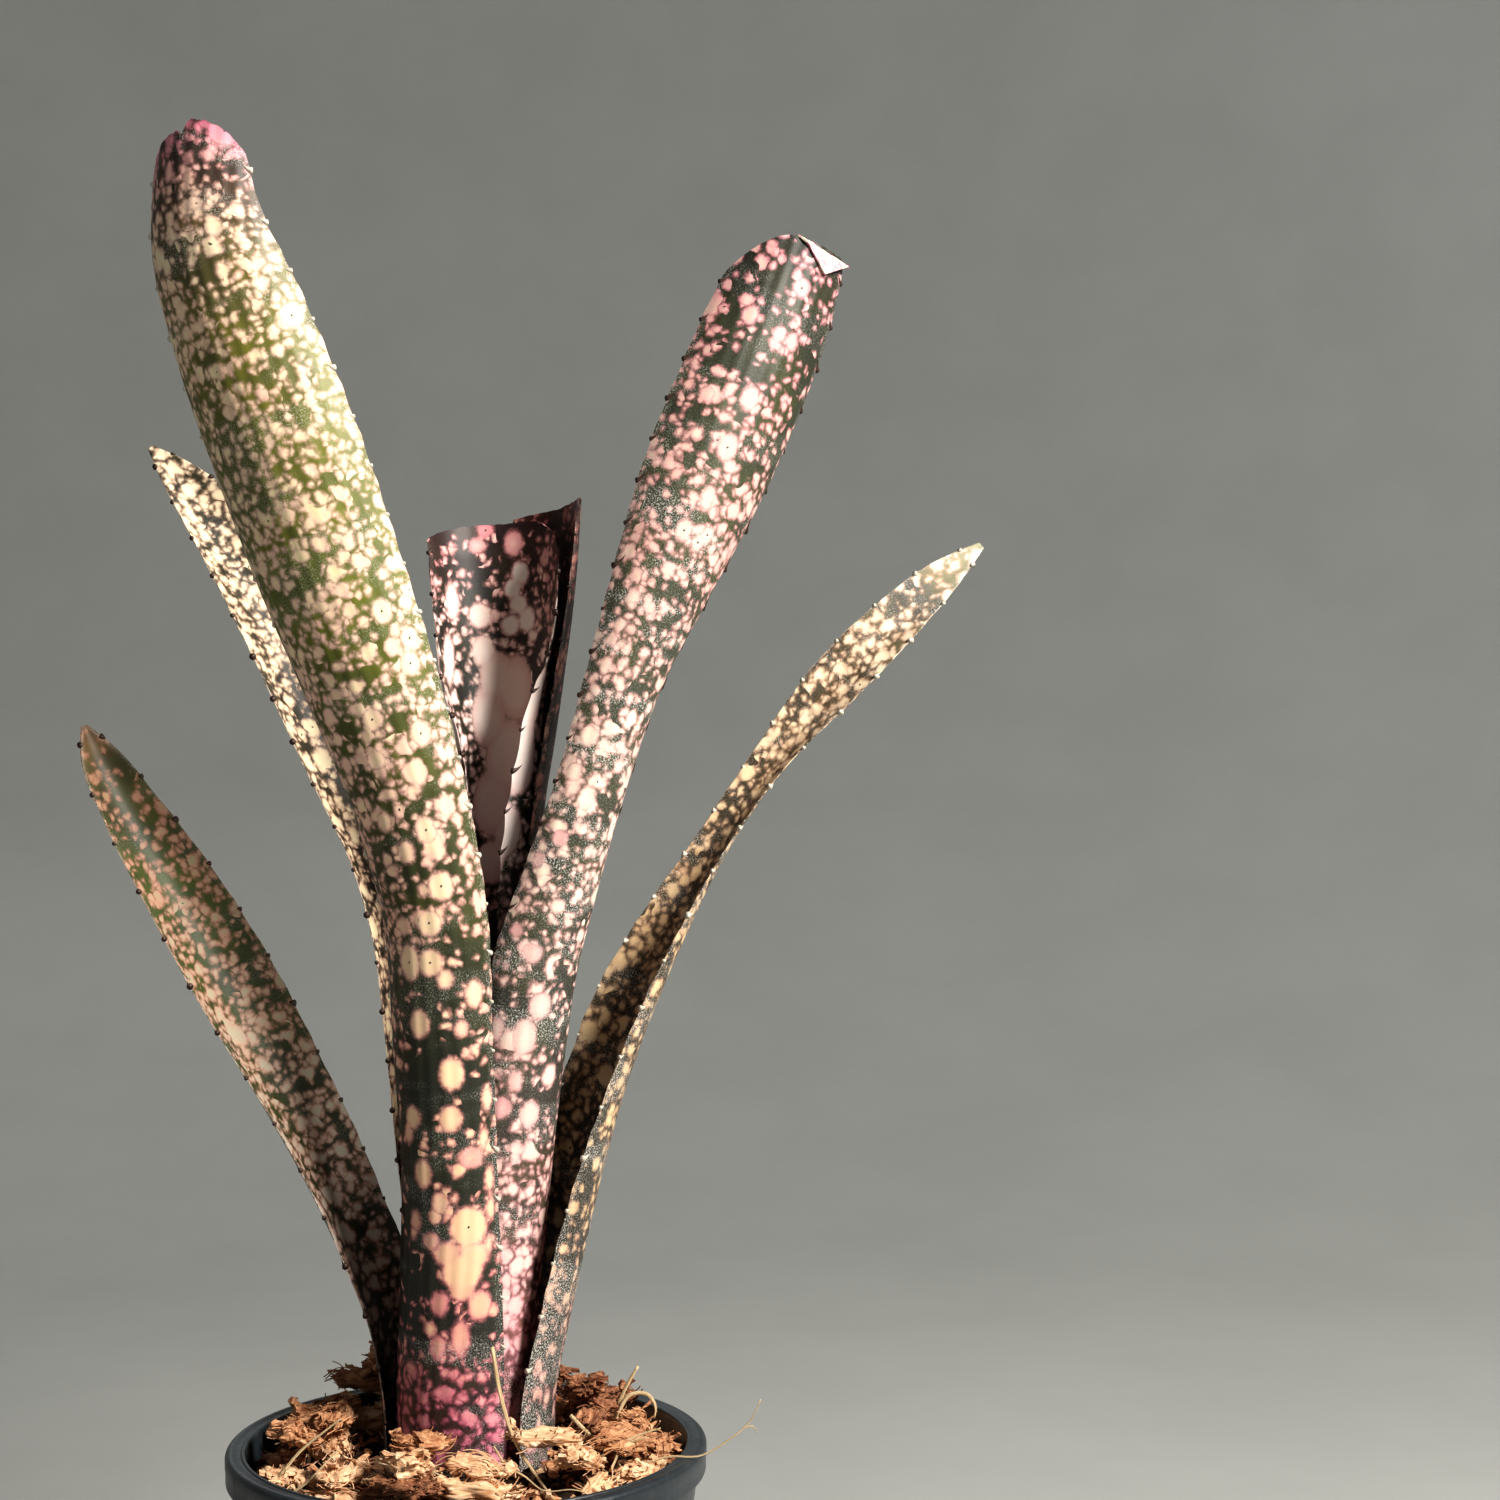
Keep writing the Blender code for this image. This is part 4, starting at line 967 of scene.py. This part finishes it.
def buildCrumbs(bedMesh, finish):
    g, size = newRule("crumbs on the bed", crumbRule)
    place = g.add("GeometryNodeInputPosition")
    up = g.upward(g.add("GeometryNodeInputNormal"))
    top = g.upward(place)
    choose = up.over(0.4) * top.over(0.0905)
    points = g.add("GeometryNodeDistributePointsOnFaces", None,
                   {0: size["shape"], 1: choose, 4: size["density"], 6: size["seed"]})
    crumb = g.add("GeometryNodeMeshIcoSphere", None, {0: size["crumbSize"], 1: 1})
    jog = g.add("ShaderNodeTexNoise", None, {"Vector": place, "Scale": 700.0}, out=1)
    jog = g.scaled(g.vector("SUBTRACT", jog, (0.5, 0.5, 0.5)), crumbBend)
    crumb = g.add("GeometryNodeSetPosition", None, {0: crumb, 3: jog})
    spin = g.random((0.0, 0.0, 0.0), (6.3, 6.3, 6.3), size["seed"])
    spin = g.add("FunctionNodeEulerToRotation", None, [spin])
    span = g.random((0.3, 0.25, 0.2), (2.0, 0.8, 0.6), size["seed"])
    crumbs = g.add("GeometryNodeInstanceOnPoints", None, {0: points, 2: crumb, 5: spin, 6: span})
    closeRule(g, crumbs, size["finish"])
    mesh = grow("coir_crumbs", bedMesh.copy(), g, crumbRule, finish)
    print("crumbs", len(mesh.polygons), "faces")
    return addPiece("coir_crumbs", mesh)


# the husk chips, in millimetres
husk = {"cuts": 9, "flat": 0.66, "sink": 1.0, "frontX": 0.0, "frontY": -26.0, "frontReach": 22.0,
        "frontSink": 4.6, "ridge": 1.0, "lump": 1.7, "split": 2.4, "splitFrom": 0.35, "lengthwise": 0.14,
        "crosswise": 0.95, "hairDensity": 150000.0}
huskShades = {
    "husk_dark": [(0.22, (0.022, 0.006, 0.003)), (0.42, (0.14, 0.046, 0.020)),
                  (0.58, (0.38, 0.17, 0.085)), (0.74, (0.62, 0.38, 0.24))],
    "husk_brown": [(0.22, (0.045, 0.013, 0.006)), (0.40, (0.27, 0.10, 0.045)),
                   (0.56, (0.62, 0.33, 0.17)), (0.74, (0.86, 0.60, 0.42))],
    "husk_pale": [(0.22, (0.085, 0.028, 0.014)), (0.38, (0.46, 0.22, 0.105)),
                  (0.54, (0.80, 0.52, 0.32)), (0.74, (0.94, 0.77, 0.60))],
}


def huskFinish(name, tones):
    g = newFinish(name + " fibre")
    grain = g.attribute("grain", out=1)
    fibre = g.cloud(g.stretch(grain, (0.10, 1.3, 1.3)), 1.5, 4.0, 0.6)
    tuft = g.cloud(g.stretch(grain, (0.45, 1.0, 1.0)), 0.42, 3.0, 0.6)
    fleck = g.cloud(grain, 4.0, 2.0)
    shade = fibre * 0.62 + tuft * 0.42 + fleck * 0.12 - 0.08
    colour = g.ramp(shade, tones)
    return dress(g, colour, 0.78 + fleck * 0.15, fibre + tuft * 0.5, depth=0.45, strength=0.85)


def chipMesh(node, seed):
    # one chip: the plain solid cut finer, its sides ridged along the fibre and its ends split
    work = bmesh.new()
    work.from_mesh(cadNodes[node].data)
    bmesh.ops.remove_doubles(work, verts=work.verts, dist=0.00002)
    bmesh.ops.subdivide_edges(work, edges=work.edges, cuts=husk["cuts"], use_grid_fill=True)
    bmesh.ops.triangulate(work, faces=work.faces)
    for _ in range(2):
        bmesh.ops.smooth_vert(work, verts=work.verts, factor=0.5,
                              use_axis_x=True, use_axis_y=True, use_axis_z=True)
    points = np.array([vertex.co for vertex in work.verts]) / mm
    middle = points.mean(axis=0)
    _, _, axes = np.linalg.svd(points - middle, full_matrices=False)
    if np.linalg.det(axes) < 0:
        axes[2] *= -1
    local = (points - middle) @ axes.T
    local[:, 2] *= husk["flat"]
    # chips in front lie lower than the others
    x, y = middle[0] - husk["frontX"], middle[1] - husk["frontY"]
    front = math.exp(-(x ** 2 + y ** 2) / husk["frontReach"] ** 2)
    points = local @ axes + middle - np.array([0.0, 0.0, husk["sink"] + husk["frontSink"] * front])
    for vertex, place in zip(work.verts, points):
        vertex.co = place * mm
    reach = np.abs(local[:, 0]).max()
    work.normal_update()
    for vertex, place in zip(work.verts, local):
        along, side, up = place
        thin = husk["crosswise"]
        at = Vector((along * husk["lengthwise"], side * thin, up * thin + seed * 7.3))
        ridge = 0.5 - 2.0 * abs(noise.noise(at)) + 0.6 * noise.noise(at * 2.7)
        coarse = noise.noise(Vector((along * 0.2, side * 0.28, up * 0.35 + seed * 3.1)))
        end = min(1.0, max(0.0, (abs(along) / reach - husk["splitFrom"]) / 0.6))
        split = noise.noise(Vector((math.copysign(3.0, along), side * 1.3, up * 1.3 + seed * 1.9)))
        split += 0.5 * noise.noise(Vector((math.copysign(5.0, along), side * 3.1, up * 3.1 + seed * 4.9)))
        move = Vector(vertex.normal) * (ridge * husk["ridge"] + coarse * husk["lump"])
        move += Vector(axes[0]) * (math.copysign(1.0, along) * split * husk["split"] * end)
        vertex.co += move * mm
    mesh = bpy.data.meshes.new(node)
    work.to_mesh(mesh)
    work.free()
    grain = local + np.array([seed * 23.0, seed * 5.0, seed * 11.0])
    keepVectors(mesh, "grain", grain)
    keepVectors(mesh, "fibreWay", np.tile(axes[0], len(points)))
    return mesh


def joinMeshes(name, meshes):
    objects = [bpy.data.objects.new(mesh.name, mesh) for mesh in meshes]
    for item in objects:
        bpy.context.scene.collection.objects.link(item)
        item.select_set(True)
    bpy.context.view_layer.objects.active = objects[0]
    with bpy.context.temp_override(active_object=objects[0], selected_editable_objects=objects):
        bpy.ops.object.join()
    mesh = objects[0].data
    mesh.name = name
    bpy.data.objects.remove(objects[0], do_unlink=True)
    return mesh


hairRule = {"density": husk["hairDensity"], "hairLength": 5.0 * mm, "hairWidth": 0.13 * mm, "stray": 0.62,
            "seed": 5}


def hairTree():
    g, size = newRule("loose fibres on the chips", hairRule)
    points = g.add("GeometryNodeDistributePointsOnFaces", None,
                   {0: size["shape"], 4: size["density"], 6: size["seed"]})
    way = g.named("fibreWay")
    off = g.random((-1.0, -1.0, -0.6), (1.0, 1.0, 1.0), size["seed"])
    way = g.vector("ADD", way, g.scaled(off, size["stray"]))
    turn = g.add("FunctionNodeAlignRotationToVector", {"axis": "Z"}, {2: way})
    hair = g.add("GeometryNodeCurveQuadraticBezier", None,
                 {0: 5, 1: (0.0, 0.0, -0.45), 2: (0.28, 0.10, 0.1), 3: (-0.05, 0.0, 0.55)})
    part = g.add("GeometryNodeSplineParameter")
    hair = g.add("GeometryNodeSetCurveRadius", None, {0: hair, 2: 1.0 - part * 0.75})
    ring = g.add("GeometryNodeCurvePrimitiveCircle", None, {"Resolution": 3, "Radius": 1.0})
    wide = g.add("ShaderNodeCombineXYZ", None, [size["hairWidth"]] * 3)
    long = g.add("ShaderNodeCombineXYZ", None, [size["hairLength"]] * 3)
    ring = g.add("GeometryNodeTransform", None, {"Geometry": ring, "Scale": g.vector("DIVIDE", wide, long)})
    strand = g.add("GeometryNodeCurveToMesh", None, {0: hair, 1: ring, "Fill Caps": True})
    large = g.random(0.35, 1.5, size["seed"])
    hairs = g.add("GeometryNodeInstanceOnPoints", None,
                  {0: points, 2: strand, 5: turn, 6: large * size["hairLength"]})
    closeRule(g, hairs, size["finish"])
    return g


flakeDensity = {"chips": 26000.0, "bed": 20000.0}   # for each square metre
flakeRule = {"density": flakeDensity["chips"], "flakeLength": 4.2 * mm, "seed": 14}
flakeLift, flakeBend = 0.5 * mm, 3.6 * mm


def flakeTree():
    # small broken bits between the chips and on them, each bent its own way
    g, size = newRule("flakes of husk", flakeRule)
    place = g.add("GeometryNodeInputPosition")
    up = g.upward(g.add("GeometryNodeInputNormal"))
    points = g.add("GeometryNodeDistributePointsOnFaces", None,
                   {0: size["shape"], 1: up.over(0.1), 4: size["density"], 6: size["seed"]})
    points = g.add("GeometryNodeSetPosition", None, {0: points, 3: (0.0, 0.0, flakeLift)})
    bit = g.add("GeometryNodeMeshCube", None, {1: 6, 2: 3, 3: 2})
    turn = g.random((-0.5, -0.6, 0.0), (0.5, 0.6, 6.3), size["seed"])
    turn = g.add("FunctionNodeEulerToRotation", None, [turn])
    span = g.random((0.5, 0.12, 0.06), (2.0, 0.55, 0.3), size["seed"])
    bits = g.add("GeometryNodeInstanceOnPoints", None,
                 {0: points, 2: bit, 5: turn, 6: g.scaled(span, size["flakeLength"])})
    bits = g.add("GeometryNodeRealizeInstances", None, [bits])
    jog = g.add("ShaderNodeTexNoise", None, {"Vector": place, "Scale": 520.0, "Detail": 3.0}, out=1)
    jog = g.scaled(g.vector("SUBTRACT", jog, (0.5, 0.5, 0.5)), flakeBend)
    bits = g.add("GeometryNodeSetPosition", None, {0: bits, 3: jog})
    bits = g.add("GeometryNodeStoreNamedAttribute", {"data_type": "FLOAT_VECTOR", "domain": "POINT"},
                 {0: bits, 2: "grain", 3: g.scaled(place, 1.0 / mm)})
    closeRule(g, bits, size["finish"])
    return g


def buildChips(bedMesh):
    rule, flakes = hairTree(), flakeTree()
    names = sorted(name for name in cadNodes if name.startswith("husk_chip"))
    groups = {shade: [] for shade in huskShades}
    for index, name in enumerate(names):
        groups[chipShade(name)].append((name, chipMesh(name, index + 1)))
    for number, (shade, tones) in enumerate(huskShades.items()):
        finish = huskFinish(shade, tones)
        mesh = joinMeshes(shade + "_chips", [item[1] for item in groups[shade]])
        coat(mesh, finish)
        mesh.shade_smooth()
        sizes = dict(hairRule, seed=20 + number)
        hairs = grow(shade + "_hairs", mesh.copy(), rule, sizes, finish)
        addPiece(shade + "_chips", mesh, [item[0] for item in groups[shade]])
        addPiece(shade + "_hairs", hairs)
        for place, ground in (("chips", mesh), ("bed", bedMesh)):
            label = "%s_flakes_on_%s" % (shade, place)
            sizes = dict(flakeRule, density=flakeDensity[place], seed=30 + 7 * number)
            bits = grow(label, ground.copy(), flakes, sizes, finish)
            addPiece(label, bits)
            print(label, len(bits.polygons), "faces")
        print(shade, len(groups[shade]), "chips,", len(mesh.polygons), "faces,",
              len(hairs.polygons), "on hairs")


def chipShade(name):
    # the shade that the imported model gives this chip
    slots = cadNodes[name].data.materials
    label = slots[0].name if slots else ""
    for shade in huskShades:
        if shade.split("_")[1] in label:
            return shade
    return "husk_brown"


# the loose strands, in millimetres: radius, and points across, deep and up
strands = {
    "pale_curl": {"radius": 0.62, "points": [(33, 8, 95), (33.4, 7.6, 103), (35.5, 7.4, 109),
                                             (38.8, 7, 115)]},
    "pale_hook": {"radius": 0.55, "points": [(33.4, 7, 98), (34.2, 6.6, 104), (37, 6.4, 108.4),
                                             (41, 6.2, 108.6),
                                             (43, 6.2, 105.6), (42.6, 6.2, 103)]},
    "rim_thread": {"radius": 0.22, "points": [(40, -14, 98), (47, -15, 100.3), (53.5, -16, 100.7),
                                              (60, -17, 104.5),
                                              (65, -17.6, 109), (67.4, -18, 114)]},
    "rim_thread_fork": {"radius": 0.16, "points": [(63.4, -17.4, 107.4), (65.6, -17.4, 107.8),
                                                   (66.6, -17.4, 106.4)]},
    "leaning_straw": {"radius": 0.42, "points": [(8.5, -27.5, 128), (10.5, -28, 117), (13.5, -29, 108),
                                                 (19, -31, 100), (22.5, -32.5, 96)]},
    "thin_loop": {"radius": 0.2, "points": [(9, -30, 107), (12, -31, 103), (16, -32, 101), (20, -34, 98.6),
                                            (27, -35, 99), (33, -34, 97)]},
    "cross_stem_a": {"radius": 0.42, "points": [(24, -6, 107), (28, -9, 104), (33, -13, 101),
                                                (36, -15, 98)]},
    "cross_stem_b": {"radius": 0.3, "points": [(31, -20, 101), (36, -18, 104), (41, -17, 106),
                                               (45, -16, 107)]},
    "cross_stem_c": {"radius": 0.3, "points": [(34, -22, 99), (37, -19, 104), (42, -18, 105.6)]},
    "left_stem_a": {"radius": 0.34, "points": [(-40, -22, 97), (-35, -20, 103), (-30, -19, 107),
                                               (-26, -19, 110)]},
    "left_stem_b": {"radius": 0.3, "points": [(-37, -34, 96), (-31, -32, 100), (-27, -30, 104),
                                              (-25, -29, 106)]},
    "front_thread_a": {"radius": 0.2, "points": [(-18, -33, 101), (-10, -34, 104), (-4, -35, 103),
                                                 (4, -36, 99)]},
    "front_thread_b": {"radius": 0.2, "points": [(-22, -40, 97), (-14, -42, 98), (-8, -41, 99.6),
                                                 (-7, -38, 98)]},
}


def tubeMesh(name, points, radius, sides=7, steps=26):
    # a smooth strand, thinner towards its end, closed at both ends
    rows = np.array(points, dtype=float)
    line = stationCurve(rows, np.linspace(0, 1, steps))
    run = unit(np.gradient(line, axis=0))
    across = unit(np.cross(run, (0.13, 0.21, 0.97)))
    other = np.cross(run, across)
    size = radius * (1.0 - 0.55 * np.linspace(0, 1, steps) ** 1.5)
    rings, faces = [], []
    for index in range(steps):
        for turn in range(sides):
            angle = 2 * math.pi * turn / sides
            flat = 1.0 - 0.25 * math.cos(2 * angle)
            spoke = math.cos(angle) * across[index] + math.sin(angle) * other[index]
            rings.append(line[index] + size[index] * flat * spoke)
    for index in range(steps - 1):
        for turn in range(sides):
            a, b = index * sides + turn, index * sides + (turn + 1) % sides
            faces.append((a, b, b + sides, a + sides))
    faces.append(tuple(range(sides))[::-1])
    faces.append(tuple((steps - 1) * sides + turn for turn in range(sides)))
    mesh = bpy.data.meshes.new(name)
    mesh.from_pydata((np.array(rings) * mm).tolist(), [], faces)
    grain = np.stack([np.repeat(np.linspace(0, 30, steps), sides), np.tile(np.arange(sides) * 0.5, steps),
                      np.full(steps * sides, len(name) * 3.0)], -1)
    keepVectors(mesh, "grain", grain)
    work = bmesh.new()
    work.from_mesh(mesh)
    bmesh.ops.recalc_face_normals(work, faces=work.faces)
    work.to_mesh(mesh)
    work.free()
    mesh.shade_smooth()
    return mesh


def buildStrands():
    pale = huskFinish("pale strand", [(0.25, (0.30, 0.18, 0.08)), (0.5, (0.70, 0.52, 0.30)),
                                      (0.75, (0.86, 0.74, 0.52))])
    meshes = [tubeMesh(name, item["points"], item["radius"]) for name, item in strands.items()]
    mesh = joinMeshes("loose_strands", meshes)
    coat(mesh, pale)
    print("strands", len(strands))
    return addPiece("loose_strands", mesh)


# the stem
def stemFinish():
    g = newFinish("stem tissue")
    place = g.objectPlace()
    fibre = g.cloud(g.stretch(place, (1.0, 1.0, 0.15)), 900.0, 3.0)
    scar = g.cloud(g.stretch(place, (0.2, 0.2, 1.0)), 420.0, 2.0)
    colour = g.ramp(fibre * 0.5 + scar * 0.5, [(0.3, (0.10, 0.06, 0.03)), (0.5, (0.36, 0.28, 0.14)),
                                                (0.7, (0.55, 0.46, 0.26))])
    return dress(g, colour, 0.62 + fibre * 0.2, fibre + scar, depth=0.3, strength=0.7)


# the floor and the light, in metres and watts
studio = {"floorRadius": 0.65, "bend": 1.05, "wall": 2.4, "around": 128,
          "tones": ((0.450, 0.460, 0.450), (0.475, 0.485, 0.475))}
room = {"tone": (0.62, 0.66, 0.70, 1.0), "strength": 0.02, "look": "Medium High Contrast"}


def wallFinish():
    g = newFinish("pale studio cove")
    place = g.objectPlace()
    mottle = g.cloud(place, 9.0, 4.0, 0.6)
    colour = g.mix(mottle.step(0.3, 0.7), *studio["tones"])
    return dress(g, colour, 0.9, g.cloud(place, 260.0, 2.0), depth=0.4, strength=0.15)


def buildStudio():
    floor, bend, wall = studio["floorRadius"], studio["bend"], studio["wall"]
    profile = [(0.0, 0.0), (0.3, 0.0), (floor, 0.0)]
    profile += [(floor + bend * math.sin(a), bend - bend * math.cos(a))
                for a in np.linspace(0.06, math.pi / 2, 26)]
    profile += [(floor + bend, wall)]
    count = studio["around"]
    angles = [2 * math.pi * i / count for i in range(count)]
    points, faces = [(0.0, 0.0, 0.0)], []
    for radius, height in profile[1:]:
        points += [(radius * math.cos(a), radius * math.sin(a), height) for a in angles]
    faces += [(0, 1 + i, 1 + (i + 1) % count) for i in range(count)]
    for ring in range(len(profile) - 2):
        base = 1 + ring * count
        faces += [(base + i, base + count + i, base + count + (i + 1) % count, base + (i + 1) % count)
                  for i in range(count)]
    mesh = bpy.data.meshes.new("studio_cove")
    mesh.from_pydata(points, [], faces)
    coat(mesh, wallFinish())
    mesh.shade_smooth()
    cove = bpy.data.objects.new("studio_cove", mesh)
    bpy.context.scene.collection.objects.link(cove)


lights = {
    "key": {"place": (0.575, -0.42, 0.70), "aim": (0.0, 0.0, 0.27), "size": 0.24, "power": 14.6,
            "tone": (1.0, 0.96, 0.89)},
    "fill": {"place": (-0.70, -0.95, 0.60), "aim": (0.0, 0.0, 0.22), "size": 0.9, "power": 0.5,
             "tone": (0.86, 0.94, 1.0)},
    "wall": {"place": (1.20, 0.55, 1.30), "aim": (1.05, 1.5, 0.95), "size": 0.7, "power": 5.0,
             "tone": (1.0, 1.0, 0.98)},
    "back": {"place": (-0.35, 0.95, 0.75), "aim": (0.0, 0.0, 0.20), "size": 0.7, "power": 0.6,
             "tone": (0.94, 0.97, 1.0)},
}


def buildLights():
    for name, item in lights.items():
        lamp = bpy.data.lights.new(name, "AREA")
        lamp.shape, lamp.size, lamp.energy, lamp.color = "DISK", item["size"], item["power"], item["tone"]
        light = bpy.data.objects.new(name, lamp)
        light.location = item["place"]
        way = Vector(item["aim"]) - Vector(item["place"])
        light.rotation_euler = way.to_track_quat("-Z", "Y").to_euler()
        light.visible_camera = False
        bpy.context.scene.collection.objects.link(light)
    world = bpy.data.worlds.new("soft room")
    bpy.context.scene.world = world
    world.use_nodes = True
    glow = world.node_tree.nodes["Background"].inputs
    glow["Color"].default_value = room["tone"]
    glow["Strength"].default_value = room["strength"]
    bpy.context.scene.view_settings.view_transform = "Standard"
    bpy.context.scene.view_settings.look = room["look"]


buildPot()
buildLeaves()
coir = coirFinish()
bedPiece = buildBed(coir)
buildCrumbs(bedPiece.data, coir)
buildChips(bedPiece.data)
buildStrands()
stem = cadNodes["stem"]
coat(stem.data, stemFinish())
print("stem ready")
buildStudio()
buildLights()
print("studio ready")
